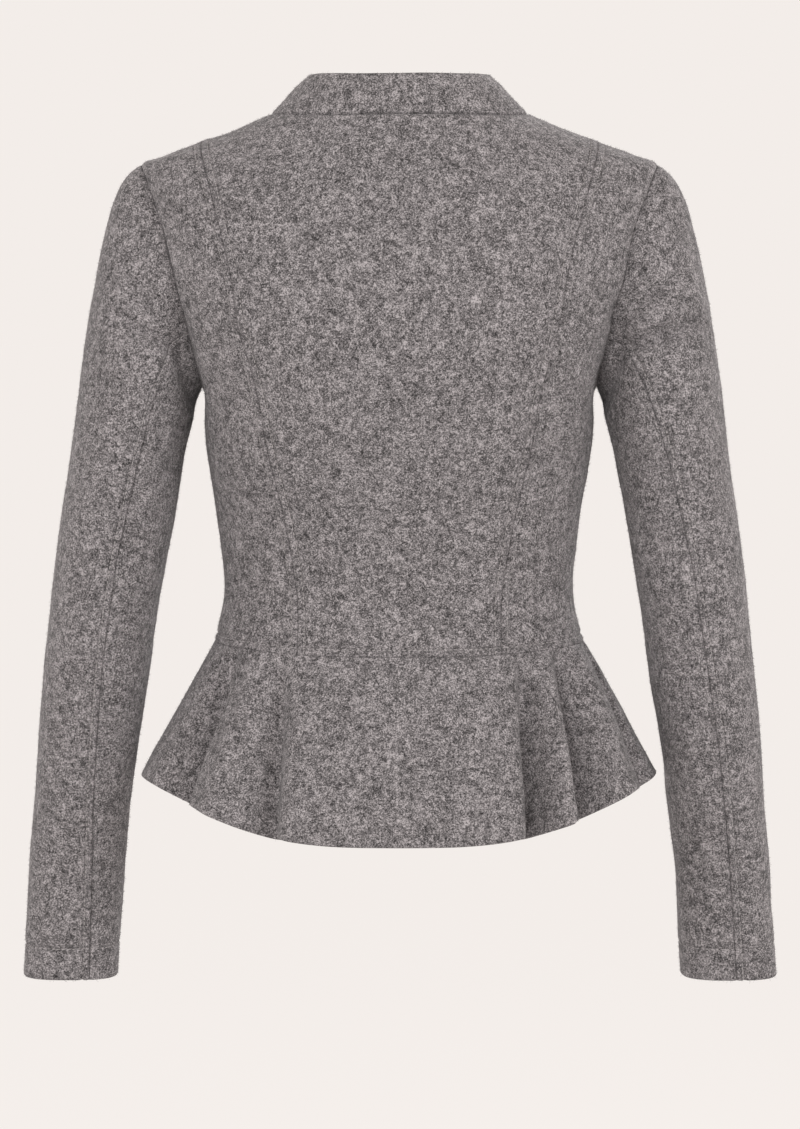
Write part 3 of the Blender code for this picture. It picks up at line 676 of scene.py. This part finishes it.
def crease_lines():
    """For each crease, points along it, how strong it is there, its width and its depth."""
    tables = (
        (LEFT_SLEEVE_CREASES, sleeve, 1),
        (RIGHT_SLEEVE_CREASES, sleeve, MIRROR),
        (BODICE_CREASES, bodice, 1),
        (SHOULDER_TIP_CREASES, bodice, 1),
        (SHOULDER_TIP_CREASES, bodice, MIRROR),
        (PEPLUM_CREASES, peplum, 1),
    )
    share = np.linspace(0, 1, CREASE_POINTS)
    strength = np.sin(math.pi * (CREASE_START + CREASE_SPAN * share)) ** CREASE_FADE
    found = []
    for table, surface, flip in tables:
        for crease in map(Crease._make, table):
            rows = [(math.radians(turn), level) for turn, level in crease[:3]]
            places = through_rows(rows, 2 * share)
            line = surface(places[:, 0], places[:, 1]) * flip
            found.append((line, strength, crease.width * MM, crease.depth * MM))
    return found


def crease_height(points, lines):
    """The sum of the creases that pass near each point."""
    flat = points.reshape(-1, 3)
    height = np.zeros(len(flat))
    for line, strength, width, depth in lines:
        reach = CREASE_REACH * width
        low, high = line.min(axis=0) - reach, line.max(axis=0) + reach
        near = np.flatnonzero(((flat > low) & (flat < high)).all(axis=1))
        if len(near):
            away = np.linalg.norm(flat[near, None] - line, axis=2)
            closest = away.argmin(axis=1)
            shape = np.exp(-((away.min(axis=1) / width) ** 2))
            height[near] -= depth * strength[closest] * shape
    return height.reshape(points.shape[:-1])


def edge_distances(points):
    """Distance of each point of a grid from its left, right, bottom and top edges."""
    across, up = lengths_along(points), lengths_along(points.swapaxes(0, 1)).swapaxes(0, 1)
    return across, across[:, -1:] - across, up, up[-1:] - up


def sewn_height(points, edges):
    """The dip along each seam, the lift of its allowance and the dip along its topstitching."""
    height = np.zeros(points.shape[:-1])
    lift = np.zeros(points.shape[:-1])
    for distance, edge in zip(edge_distances(points), edges):
        height -= edge.dip * np.exp(-((distance / edge.width) ** 2))
        for row in edge.rows:
            past = np.clip((distance - row) / ALLOWANCE_FADE, 0, 1)
            lift = np.maximum(lift, ALLOWANCE_LIFT * (1 - eased(past)))
            height -= SEWN_DEPTH * np.exp(-(((distance - row) / SEWN_WIDTH) ** 2))
    return height + lift


# The left, right, bottom and top edge of a grid, and the lines beside them
GRID_EDGES = (np.s_[:, 0], np.s_[:, -1], np.s_[0, :], np.s_[-1, :])
GRID_BESIDE = (np.s_[:, 1], np.s_[:, -2], np.s_[1, :], np.s_[-2, :])


def inward_directions(points, directions):
    """For each edge of a grid, unit vectors in the cloth that point into the piece."""
    found = []
    for at, beside in zip(GRID_EDGES, GRID_BESIDE):
        inward = unit(np.cross(np.gradient(points[at], axis=0), directions[at]))
        inward *= np.sign(((points[beside] - points[at]) * inward).sum(axis=1, keepdims=True))
        found.append(inward)
    return found


def strips(rings):
    """Quads between neighbouring rings, each a closed loop of vertex numbers."""
    beside = np.roll(rings, -1, axis=1)
    return np.stack([rings[:-1], rings[1:], beside[1:], beside[:-1]], axis=-1).reshape(-1, 4)


def tube_faces(ring_count):
    """Faces of a closed tube whose rings have THREAD_SIDES points each."""
    rings = np.arange(ring_count * THREAD_SIDES).reshape(ring_count, THREAD_SIDES)
    end = rings[-1]
    caps = [(0, 1, 2, 3), (0, 3, 4, 5), end[[3, 2, 1, 0]], end[[5, 4, 3, 0]]]
    return np.concatenate([strips(rings), caps])


def shell(points, directions, wall, edges):
    """Vertices and faces of a closed thin shell with rounded edges under a grid of points."""
    rows, columns = points.shape[:2]
    inward = np.zeros_like(points)
    for side, way, edge in zip(GRID_EDGES, inward_directions(points, directions), edges):
        inward[side] += way * edge.rounding
    outer = points + inward
    inner = outer - directions * wall
    index = np.arange(rows * columns).reshape(rows, columns)
    quads = np.stack([index[:-1, :-1], index[:-1, 1:], index[1:, 1:], index[1:, :-1]], axis=-1)
    quads = quads.reshape(-1, 4)
    rim = np.concatenate([index[0], index[1:, -1], index[-1, -2::-1], index[-2:0:-1, 0]])
    flat_points, flat_inward = points.reshape(-1, 3)[rim], inward.reshape(-1, 3)[rim]
    flat_down = (directions * wall).reshape(-1, 3)[rim]
    count = rows * columns
    vertices = [outer.reshape(-1, 3), inner.reshape(-1, 3)]
    rings = [rim]
    for step in range(1, RIM_STEPS):
        turn = math.pi * step / RIM_STEPS
        reach = 1 - math.sin(turn)
        vertices.append(flat_points + flat_inward * reach - flat_down * (1 - math.cos(turn)) / 2)
        rings.append(2 * count + (step - 1) * len(rim) + np.arange(len(rim)))
    rings.append(rim + count)
    faces = [quads, quads[:, ::-1] + count, strips(np.array(rings))]
    return np.concatenate(vertices), np.concatenate(faces)


def put(name, data):
    """An object in the scene."""
    made = bpy.data.objects.new(name, data)
    bpy.context.scene.collection.objects.link(made)
    return made


def add_piece(name, vertices, faces, finish, slot="boiled_wool", smooth=True):
    """A piece on the body, from arrays. Its faces all have the same number of corners."""
    faces = np.asarray(faces)
    mesh = bpy.data.meshes.new(name)
    mesh.vertices.add(len(vertices))
    mesh.vertices.foreach_set("co", np.asarray(vertices, np.float32).ravel())
    corners = faces.shape[1]
    mesh.loops.add(faces.size)
    mesh.loops.foreach_set("vertex_index", faces.ravel().astype(np.int32))
    mesh.polygons.add(len(faces))
    mesh.polygons.foreach_set("loop_start", np.arange(len(faces), dtype=np.int32) * corners)
    mesh.update(calc_edges=True)
    mesh.validate()
    mesh.materials.append(finish)
    mesh.polygons.foreach_set("use_smooth", np.full(len(mesh.polygons), smooth))
    made = put(name, mesh)
    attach(made, "root")
    return made


def outward_faces(vertices, faces, directions):
    """The faces, turned over if the first of them looks against the cloth's outer side."""
    a, b, c = vertices[faces[0, 0]], vertices[faces[0, 1]], vertices[faces[0, 2]]
    return faces if np.dot(np.cross(b - a, c - b), directions[0, 0]) > 0 else faces[:, ::-1]


def nap(points, directions, seed):
    """Slivers that stand off a grid of cloth, each a long thin triangle."""
    dice = np.random.default_rng(seed)
    a, b = points[:-1, :-1].reshape(-1, 3), points[:-1, 1:].reshape(-1, 3)
    c, d = points[1:, 1:].reshape(-1, 3), points[1:, :-1].reshape(-1, 3)
    up = directions[:-1, :-1].reshape(-1, 3)
    area = np.linalg.norm(np.cross(c - a, d - b), axis=1) / 2
    count = int(area.sum() * NAP_DENSITY)
    cell = dice.choice(len(area), size=count, p=area / area.sum())
    u, v = dice.random((2, count, 1))
    root = (a[cell] * (1 - u) + b[cell] * u) * (1 - v) + (d[cell] * (1 - u) + c[cell] * u) * v
    normal = unit(up[cell])
    along = dice.normal(size=(count, 3))
    along = unit(along - normal * (along * normal).sum(axis=1, keepdims=True))
    side = np.cross(normal, along)
    lift = np.radians(dice.uniform(*NAP_LIFT, (count, 1)))
    length = dice.uniform(*NAP_LENGTH, (count, 1))
    width = dice.uniform(*NAP_WIDTH, (count, 1))
    tip = root + (along * np.cos(lift) + normal * np.sin(lift)) * length
    vertices = np.stack([root - side * width, root + side * width, tip], axis=1).reshape(-1, 3)
    return vertices, np.arange(3 * count).reshape(-1, 3)


def stitches(line, normal):
    """Short threads along a line of points, each a spindle that lies half sunk in the cloth."""
    travelled = lengths_along(line[None])[0]
    count = max(1, int(travelled[-1] / STITCH_PITCH))
    pitch = travelled[-1] / count
    middle = (np.arange(count) + 0.5) * pitch
    start = read_at(middle - STITCH_LENGTH / 2, travelled, line)
    along = read_at(middle + STITCH_LENGTH / 2, travelled, line) - start
    up = unit(read_at(middle, travelled, normal))
    across = unit(np.cross(along, up))
    points = []
    for ring in STITCH_RINGS:
        centre = start + along * ring.place + up * ring.rise * STITCH_RADIUS
        radius = STITCH_RADIUS * ring.thick
        for k in range(THREAD_SIDES):
            turn = 2 * math.pi * k / THREAD_SIDES
            points.append(centre + (across * math.cos(turn) + up * math.sin(turn)) * radius)
    vertices = np.stack(points, axis=1)
    first = np.arange(count)[:, None, None] * vertices.shape[1]
    return vertices.reshape(-1, 3), (first + tube_faces(len(STITCH_RINGS))).reshape(-1, 4)


def merged(parts):
    """One list of vertices and faces from several."""
    vertices, faces, count = [], [], 0
    for some_vertices, some_faces in parts:
        vertices.append(some_vertices)
        faces.append(some_faces + count)
        count += len(some_vertices)
    return np.concatenate(vertices), np.concatenate(faces)


# Cuts of the cloth as it lay flat, without seam allowances: the greatest width across the piece
# and the greatest length along it, both measured in the cloth, and its area
Cut = namedtuple("Cut", "width length area")
CUTS = {
    "back_centre": Cut(0.365, 0.458, 0.0964),
    "back_side_left": Cut(0.104, 0.438, 0.0319),
    "back_side_right": Cut(0.104, 0.438, 0.0319),
    "front_left": Cut(0.285, 0.458, 0.0782),
    "front_right": Cut(0.285, 0.458, 0.0782),
    "collar": Cut(0.578, 0.042, 0.0181),
    "peplum_back": Cut(0.730, 0.151, 0.0740),
    "peplum_front_left": Cut(0.308, 0.136, 0.0322),
    "peplum_front_right": Cut(0.301, 0.135, 0.0317),
    "upper_sleeve_left": Cut(0.331, 0.638, 0.1109),
    "upper_sleeve_right": Cut(0.329, 0.639, 0.1054),
    "under_sleeve_left": Cut(0.147, 0.510, 0.0463),
    "under_sleeve_right": Cut(0.150, 0.515, 0.0518),
}


def add_cloth(name, points, directions, edges, looks, wall=WALL, held="stretched"):
    """One piece of cloth with its nap and its topstitching."""
    height = swell_height(points) + crease_height(points, looks.creases)
    raised = points + directions * (height + sewn_height(points, edges))[..., None]
    thickness = np.broadcast_to(wall, points.shape[:2])[..., None]
    vertices, faces = shell(raised, directions, thickness, edges)
    faces = outward_faces(vertices, faces, directions)
    cloth = add_piece(name + "_cloth", vertices, faces, looks.wool)
    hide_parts(name)

    seed = sorted(CUTS).index(name) + 1
    fibres = nap(raised, directions, seed)
    extras = [add_piece(name + "_nap", *fibres, looks.fibre, smooth=False)]

    distances = edge_distances(raised)
    lines = [
        line_at(raised, directions, distances[side], row, side)
        for side, edge in enumerate(edges)
        for row in edge.rows
    ]
    if lines:
        sewing = merged([stitches(*line) for line in lines])
        extras.append(add_piece(name + "_stitches", *sewing, looks.thread))


def line_at(points, directions, distance, row, edge):
    """The line of a grid that lies at a distance from its left, right, bottom or top edge."""
    if edge > 1:
        points, directions, distance = (v.swapaxes(0, 1) for v in (points, directions, distance))
    order = slice(None, None, -1) if edge in (1, 3) else slice(None)
    line, normal = [], []
    for some, way, away in zip(points, directions, distance):
        away = away[order]
        if away[-1] < row:
            continue
        line.append(read_at(row, away, some[order]))
        normal.append(read_at(row, away, way[order]))
    return np.array(line), np.array(normal)


def bodice_wall(grid, armhole_side=None, sign=1):
    """Outer points and wall directions, mitred at the waist seam, neckline and armhole."""
    angle, level = grid[..., 0], grid[..., 1]
    directions = bodice_normals(angle, level)
    directions[0] = waist_mitre(angle[0])
    at_neck = level[-1] > NECK - NORMAL_STEP
    directions[-1, at_neck] = neck_mitre(angle[-1, at_neck])
    if armhole_side is not None:
        above = level[:, armhole_side] > UNDERARM
        share = (level[above, armhole_side] * 2 - TIP - UNDERARM) / (TIP - UNDERARM)
        turn = sign * np.arccos(np.clip(share, -1, 1))
        directions[above, armhole_side] = armhole_mitre(turn)
    return bodice(angle, level), directions


def add_bodice(looks):
    grid = graded(bodice, back_centre_grid(), SEWN, SEWN, SEWN, SEAM)
    edges = (PRESSED, PRESSED, WAIST_SEAM, NECK_SEAM)
    add_cloth("back_centre", *bodice_wall(grid), edges, looks)
    grid = graded(bodice, back_side_grid(), SEWN, SEAM, SEWN, SEAM)
    points, directions = bodice_wall(grid, -1, 1)
    edges = (PRESSED, SIDE_SEAM, WAIST_SEAM, PLAIN_SEAM)
    add_cloth("back_side_left", points, directions, edges, looks)
    add_cloth("back_side_right", points * MIRROR, directions * MIRROR, edges, looks)
    grid = graded(bodice, front_grid(LAP), SEAM, SEWN, SEWN, SEAM)
    points, directions = bodice_wall(grid, 0, -1)
    edges = (SIDE_SEAM, STITCHED_EDGE, WAIST_SEAM, NECK_SEAM)
    add_cloth("front_left", tucked(points, directions), directions, edges, looks)
    add_cloth("front_right", points * MIRROR, directions * MIRROR, edges, looks)


def add_collar(looks):
    front = neck_angles()
    back = evenly(bodice, ((-SIDE, NECK), (SIDE, NECK)), BACK_NECK_STEPS)[:, 0]
    angle = np.concatenate([-front[::-1], back[1:-1], front])
    grid = np.stack(np.meshgrid(angle, np.linspace(0, 1, COLLAR_STEPS)), axis=-1)
    grid = graded(collar, grid, SEWN, SEWN, SEAM, SEWN)
    angle, rise = grid[..., 0], grid[..., 1]
    directions = collar_normals(angle, rise)
    directions[0] = neck_mitre(angle[0])
    points = collar(angle, rise)
    left = angle > 0
    points[left] = tucked(points[left], directions[left])
    edges = (STITCHED_EDGE, STITCHED_EDGE, NECK_SEAM, FREE_EDGE)
    add_cloth("collar", points, directions, edges, looks)


def ruled(start, end, levels, steps):
    """The grid between two edges that are given as angles at each level."""
    share = np.linspace(0, 1, steps + 1)
    angle = start[:, None] + (end - start)[:, None] * share
    return np.stack([angle, np.repeat(levels[:, None], len(share), axis=1)], axis=-1)


def add_peplum(looks):
    drop = np.linspace(0, 1, PEPLUM_STEPS)
    waist, hem = PEPLUM_RINGS[0], PEPLUM_RINGS[-1]

    def piece(name, start, end, columns, flip=1):
        grid = ruled(flip * start, flip * end, drop, columns)
        whole = name == "peplum_back"
        grid = graded(peplum, grid, SEAM, SEAM if whole else FREE, SEAM, FREE)
        angle, deep = grid[..., 0], grid[..., 1]
        points = peplum(angle, deep)
        directions = peplum_normals(angle, deep)
        directions[0] = waist_mitre(waist_angle(angle[0]))
        if name == "peplum_front_left":
            points = tucked(points, directions)
        edges = (PLAIN_SEAM, PLAIN_SEAM if whole else FREE_EDGE, PLAIN_SEAM, FREE_EDGE)
        add_cloth(name, points, directions, edges, looks, held="hung")

    side = np.full(len(drop), SIDE)
    widths = waist.half_width + (hem.half_width - waist.half_width) * drop
    edge = math.pi + np.arcsin(LAP / widths)
    piece("peplum_back", -side, side, PEPLUM_BACK_STEPS)
    piece("peplum_front_left", side, edge, PEPLUM_FRONT_STEPS)
    piece("peplum_front_right", side, edge, PEPLUM_FRONT_STEPS, flip=-1)


def add_sleeve(hand, back_seam, looks):
    """An upper and an under sleeve that meet at the back seam and the fore seam."""
    flip = MIRROR if hand == "right" else np.ones(3)
    level = joined(np.linspace(0, 1, CAP_STEPS + 1), np.linspace(1, CUFF, TUBE_STEPS + 1))
    seam = np.radians(np.interp(level, range(CUFF + 1), back_seam))
    fore = np.radians(np.interp(level, range(CUFF + 1), FORE_SEAM))

    for name, start, end in (("upper", fore - 2 * math.pi, seam), ("under", seam, fore)):
        upper = name == "upper"
        grid = ruled(start, end, level, ROUND_STEPS)
        grid = graded(sleeve, grid, SEAM, SEWN if upper else SEAM, SEAM, HEMMED)
        turn, deep = grid[..., 0], grid[..., 1]
        directions = sleeve_normals(turn, deep)
        directions[0] = armhole_mitre(turn[0])
        wall = np.where(deep > CUFF - HEM_LEVELS, HEM_WALL, WALL)
        edges = (ELBOW_SEAM._replace(rows=()), PLAIN_SEAM, SIDE_SEAM, CUFF_EDGE)
        if upper:
            edges = (PLAIN_SEAM, ELBOW_SEAM, SIDE_SEAM, CUFF_EDGE)
        points = sleeve(turn, deep) * flip
        add_cloth(f"{name}_sleeve_{hand}", points, directions * flip, edges, looks, wall)


def centre_front():
    """Levels of the bodice, and the points down the centre front at them."""
    levels = np.linspace(0, NECK, CENTRE_STEPS)
    return levels, bodice(np.full_like(levels, math.pi), levels)


def turned_disc():
    """Places of a button's points, as shares, with a raised rim, a sunk middle and four eyes."""
    turn = 2 * math.pi * np.arange(BUTTON_SIDES) / BUTTON_SIDES
    radius = np.linspace(BUTTON_MIDDLE, 1, BUTTON_RINGS)
    face = np.stack([radius, np.interp(radius, *np.array(BUTTON_FACE).T)], axis=1)
    profile = np.concatenate([face, BUTTON_EDGE])
    x, y = profile[:, :1] * np.cos(turn), profile[:, :1] * np.sin(turn)
    lift = profile[:, 1:] * np.ones_like(x)
    for eye in np.radians(EYE_TURNS):
        away = np.hypot(x - EYE_PLACE * math.cos(eye), y - EYE_PLACE * math.sin(eye))
        sunk = EYE_DEPTH * np.clip(EYE_SLOPE * (1 - away / EYE_RADIUS), 0, 1)
        lift[:BUTTON_RINGS] -= sunk[:BUTTON_RINGS]
    return x, y, lift


def disc_faces(rings):
    """Faces of a closed turned form from its rings of vertex numbers."""
    fan = np.array([(0, 2 * k + 1, 2 * k + 2, 2 * k + 3) for k in range(BUTTON_SIDES // 2 - 1)])
    return np.concatenate([strips(rings), fan, fan[:, ::-1] + rings[-1, 0]])


def add_buttons(looks):
    """Turned buttons down the centre front, each just clear of the cloth, with their sewing."""
    x, y, lift = turned_disc()
    faces = disc_faces(np.arange(x.size).reshape(x.shape))
    levels, line = centre_front()
    centre = np.array(math.pi)
    across = np.array([1.0, 0.0, 0.0])
    reach = EYE_PLACE * BUTTON_RADIUS * math.sqrt(0.5)
    place = np.linspace(-1, 1, SEWING_POINTS)[:, None]
    for number in range(BUTTON_COUNT):
        name = f"button_{number + 1}"
        level = np.interp(BUTTON_TOP - number * BUTTON_PITCH, line[:, 2], levels)
        seat = bodice(centre, level)
        out = bodice_normals(centre, level)
        up = np.cross(out, across)
        near = line[np.linalg.norm(line - seat, axis=1) < BUTTON_RADIUS]
        foot = seat + out * (BUTTON_SEAT + max(0, ((near - seat) @ out).max()))
        flat = (across * x[..., None] + up * y[..., None]) * BUTTON_RADIUS
        points = foot + flat + out * (lift * BUTTON_THICKNESS)[..., None]
        button = add_piece(name + "_turned", points.reshape(-1, 3), faces, looks.horn, "horn")
        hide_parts(name)

        threads = []
        hump = foot + out * BUTTON_THICKNESS * (SEWING_LOW + SEWING_RISE * (1 - place**4))
        for side in (-reach, reach):
            for row in SEWING_ROWS:
                path = hump + across * (side + row) + up * place * reach
                threads.append(tube_along(path, out, SEWING_RADIUS))
        add_piece(name + "_thread", *merged(threads), looks.thread)


def add_buttonholes(looks):
    """A worked buttonhole under each button: a ring of thread that ends in a bar."""
    levels, line = centre_front()
    slope = (line[:, 2].max() - line[:, 2].min()) / NECK
    angle = np.linspace(math.pi, HOLE_SEARCH, HOLE_SEARCH_STEPS)
    turn = 2 * math.pi * np.linspace(0, 1, HOLE_POINTS)
    blunt = np.abs(np.cos(turn)) ** HOLE_SQUARE * np.sign(np.cos(turn))
    ends = np.linspace(-1, 1, BAR_POINTS)
    length = HOLE_HALF_LENGTH
    ring = (length * blunt, HOLE_HALF_WIDTH * np.sin(turn), HOLE_LIFT, HOLE_THREAD)
    bar = (np.full(BAR_POINTS, length), BAR_HALF_WIDTH * ends, BAR_LIFT, BAR_THREAD)
    threads = []
    for number in range(BUTTON_COUNT):
        level = np.interp(BUTTON_TOP - number * BUTTON_PITCH, line[:, 2], levels)
        row = bodice(angle, np.full_like(angle, level))
        for out, rise, lift, radius in (ring, bar):
            reached = np.interp(HOLE_CENTRE + out, -row[:, 0], angle)
            at = level + rise / slope
            normal = bodice_normals(reached, at)
            threads.append(tube_along(bodice(reached, at) + normal * lift, normal, radius))
    add_piece("front_right_buttonholes", *merged(threads), looks.thread)


def tube_along(path, up, radius):
    """A closed thread round a path."""
    along = np.gradient(path, axis=0)
    across = unit(np.cross(along, up))
    over = unit(np.cross(across, along))
    turn = 2 * math.pi * np.arange(THREAD_SIDES) / THREAD_SIDES
    around = across[:, None] * np.cos(turn)[:, None] + over[:, None] * np.sin(turn)[:, None]
    return (path[:, None] + around * radius).reshape(-1, 3), tube_faces(len(path))


def node(tree, kind, **values):
    """A shader node with its inputs and settings."""
    made = tree.nodes.new(kind)
    for name, value in values.items():
        plain = name.replace("_", " ")
        if hasattr(made, name) and name not in made.inputs:
            setattr(made, name, value)
        else:
            made.inputs[plain].default_value = value
    return made


def material(name, **settings):
    """A material, its node tree and its shader with those inputs set."""
    made = bpy.data.materials.new(name)
    made.use_nodes = True
    shader = made.node_tree.nodes["Principled BSDF"]
    for label, value in settings.items():
        shader.inputs[label.replace("_", " ")].default_value = value
    return made, made.node_tree, shader


def noise(tree, vector, **values):
    """The value of a noise texture at a vector."""
    made = node(tree, "ShaderNodeTexNoise", **values)
    tree.links.new(vector, made.inputs["Vector"])
    return made.outputs["Fac"]


def object_place(tree):
    return tree.nodes.new("ShaderNodeTexCoord").outputs["Object"]


def coloured(tree, shader, value, base, stops):
    """Gives the shader shares of a base colour. Each stop is a place of the value and a share."""
    ramp = tree.nodes.new("ShaderNodeValToRGB")
    elements = ramp.color_ramp.elements
    while len(elements) < len(stops):
        elements.new(0.5)
    for element, (place, share) in zip(elements, stops):
        element.position = place
        element.color = (*(part * share for part in base), 1)
    tree.links.new(value, ramp.inputs["Fac"])
    tree.links.new(ramp.outputs["Color"], shader.inputs["Base Color"])


def bumped(tree, shader, value, strength, distance):
    bump = node(tree, "ShaderNodeBump", Strength=strength, Distance=distance)
    tree.links.new(value, bump.inputs["Height"])
    tree.links.new(bump.outputs["Normal"], shader.inputs["Normal"])


# Colours, and the places and shares of their dark, middle and light shades
WOOL, WOOL_STOPS = (0.1355, 0.1257, 0.1280), ((0.395, 0.16), (0.50, 1.0), (0.605, 2.9))
THREAD, THREAD_STOPS = (0.350, 0.328, 0.324), ((0.35, 0.7), (0.65, 1.3))
HORN, HORN_STOPS = (0.050, 0.043, 0.038), ((0.3, 0.5), (0.55, 1.0), (0.75, 2.6))

# Fine grain, clumps and soft clouds of the wool: share of the whole and the noise of each
Mottle = namedtuple("Mottle", "share scale detail roughness distortion")
MOTTLES = (
    Mottle(0.60, 900.0, 2.0, 0.70, 0.5),
    Mottle(0.34, 200.0, 4.0, 0.66, 0.8),
    Mottle(0.06, 70.0, 2.0, 0.55, 0.0),
)
WOOL_BUMP = 0.0012
THREAD_BUMP = (0.4, 0.0002)  # strength and depth
STREAKS = (260, 60, 60)  # how closely they lie along each axis: narrow across the jacket
POLISH_LEAST, POLISH_MOST = 0.28, 0.46


def wool_material(name, brightness, relief):
    """Felted wool: light and dark fibres matted into a fine grain, in clumps and soft clouds."""
    made, tree, shader = material(
        name, Roughness=0.97, Specular_IOR_Level=0.12, Sheen_Weight=0.10, Sheen_Roughness=0.6
    )
    place = object_place(tree)
    spread = None
    for share, scale, detail, roughness, distortion in MOTTLES:
        mottle = noise(
            tree, place, Scale=scale, Detail=detail, Roughness=roughness, Distortion=distortion
        )
        step = node(tree, "ShaderNodeMath", operation="MULTIPLY_ADD")
        tree.links.new(mottle, step.inputs[0])
        step.inputs[1].default_value, step.inputs[2].default_value = share, 0.0
        if spread:
            tree.links.new(spread, step.inputs[2])
        spread = step.outputs[0]
    coloured(tree, shader, spread, tuple(part * brightness for part in WOOL), WOOL_STOPS)
    bumped(tree, shader, spread, relief, WOOL_BUMP)
    return made


def thread_material():
    """Grey sewing thread with its twist."""
    made, tree, shader = material("sewing_thread", Roughness=0.7)
    twist = noise(tree, object_place(tree), Scale=1500.0, Detail=1.0)
    coloured(tree, shader, twist, THREAD, THREAD_STOPS)
    bumped(tree, shader, twist, *THREAD_BUMP)
    return made


def horn_material():
    """Dark horn with paler streaks, unevenly polished."""
    made, tree, shader = material("horn")
    stretch = node(tree, "ShaderNodeMapping", Scale=STREAKS)
    tree.links.new(object_place(tree), stretch.inputs["Vector"])
    streak = noise(
        tree, stretch.outputs["Vector"], Scale=1.0, Detail=4.0, Roughness=0.6, Distortion=0.8
    )
    coloured(tree, shader, streak, HORN, HORN_STOPS)
    polish = node(tree, "ShaderNodeMapRange", To_Min=POLISH_LEAST, To_Max=POLISH_MOST)
    tree.links.new(streak, polish.inputs["Value"])
    tree.links.new(polish.outputs["Result"], shader.inputs["Roughness"])
    return made


PAPER = (0.896, 0.847, 0.815)  # the photo's background
FLOOR_Z = -1.45  # a standing wearer's floor
FLOOR_RADIUS, FLOOR_SIDES = 40.0, 96
FLOOR_SHARE = 0.06  # of the floor's light that it scatters; the rest is its own


def add_floor():
    """A plain pale floor that meets the background without an edge."""
    made = material(
        "floor",
        Base_Color=(FLOOR_SHARE, FLOOR_SHARE, FLOOR_SHARE, 1),
        Roughness=1.0,
        Specular_IOR_Level=0.0,
        Emission_Color=(*PAPER, 1),
        Emission_Strength=1 - FLOOR_SHARE,
    )[0]
    turns = [2 * math.pi * k / FLOOR_SIDES for k in range(FLOOR_SIDES)]
    points = [(FLOOR_RADIUS * math.cos(t), FLOOR_RADIUS * math.sin(t), FLOOR_Z) for t in turns]
    mesh = bpy.data.meshes.new("floor")
    mesh.from_pydata(points, [], [tuple(range(FLOOR_SIDES))])
    mesh.materials.append(made)
    put("floor", mesh)


Lamp = namedtuple("Lamp", "name place width height power")
LAMPS = (
    Lamp("back", (0.5, 2.9, 0.6), 1.2, 1.2, 28),
    Lamp("left", (2.6, 1.5, 0.4), 1.0, 1.2, 16),
    Lamp("right", (-2.3, 1.9, 0.3), 1.0, 1.2, 28),
    Lamp("front", (-1.3, -2.4, 1.2), 1.4, 1.4, 46),
)
AIM = (0.0, 0.0, -0.34)


def aim(made, place, target):
    """Puts a lamp or a camera at a place and turns it to its target."""
    made.location = place
    made.rotation_euler = (Vector(target) - made.location).to_track_quat("-Z", "Y").to_euler()


def add_lights():
    world = bpy.data.worlds.new("studio")
    bpy.context.scene.world = world
    world.use_nodes = True
    background = world.node_tree.nodes["Background"]
    background.inputs["Color"].default_value = (*PAPER, 1)
    background.inputs["Strength"].default_value = 1.0
    for lamp in LAMPS:
        light = bpy.data.lights.new(lamp.name, "AREA")
        light.shape = "RECTANGLE"
        light.size, light.size_y, light.energy = lamp.width, lamp.height, lamp.power
        aim(put(lamp.name, light), lamp.place, AIM)


# The photo's camera: three metres off and 5 degrees up, at 0.76 mm to a pixel of its height
PHOTO_HEIGHT = 1129
PIXEL = 0.00076
DISTANCE = 3.0
ELEVATION = 5.0
LOOK_AT = (-0.0005, 0.0, -0.340)
SENSOR = 36.0
CLIP_END = 200


def add_camera():
    data = bpy.data.cameras.new("camera")
    data.sensor_fit = "VERTICAL"
    data.sensor_height = SENSOR
    data.lens = SENSOR * DISTANCE / (PHOTO_HEIGHT * PIXEL)
    data.clip_end = CLIP_END
    turn = math.radians(ELEVATION)
    away = Vector((0, math.cos(turn), math.sin(turn))) * DISTANCE
    made = put("camera", data)
    aim(made, Vector(LOOK_AT) + away, LOOK_AT)
    bpy.context.scene.camera = made


Looks = namedtuple("Looks", "wool fibre thread horn creases")


def main():
    looks = Looks(
        wool_material("boiled_wool", 1.0, 0.6),
        wool_material("loose_fibre", 1.15, 0.2),
        thread_material(),
        horn_material(),
        crease_lines(),
    )
    add_camera()
    add_lights()
    add_floor()
    add_bodice(looks)
    add_collar(looks)
    add_peplum(looks)
    add_sleeve("left", BACK_SEAM_LEFT, looks)
    add_sleeve("right", BACK_SEAM_RIGHT, looks)
    add_buttons(looks)
    add_buttonholes(looks)
    bpy.context.scene.view_settings.view_transform = "Standard"


main()
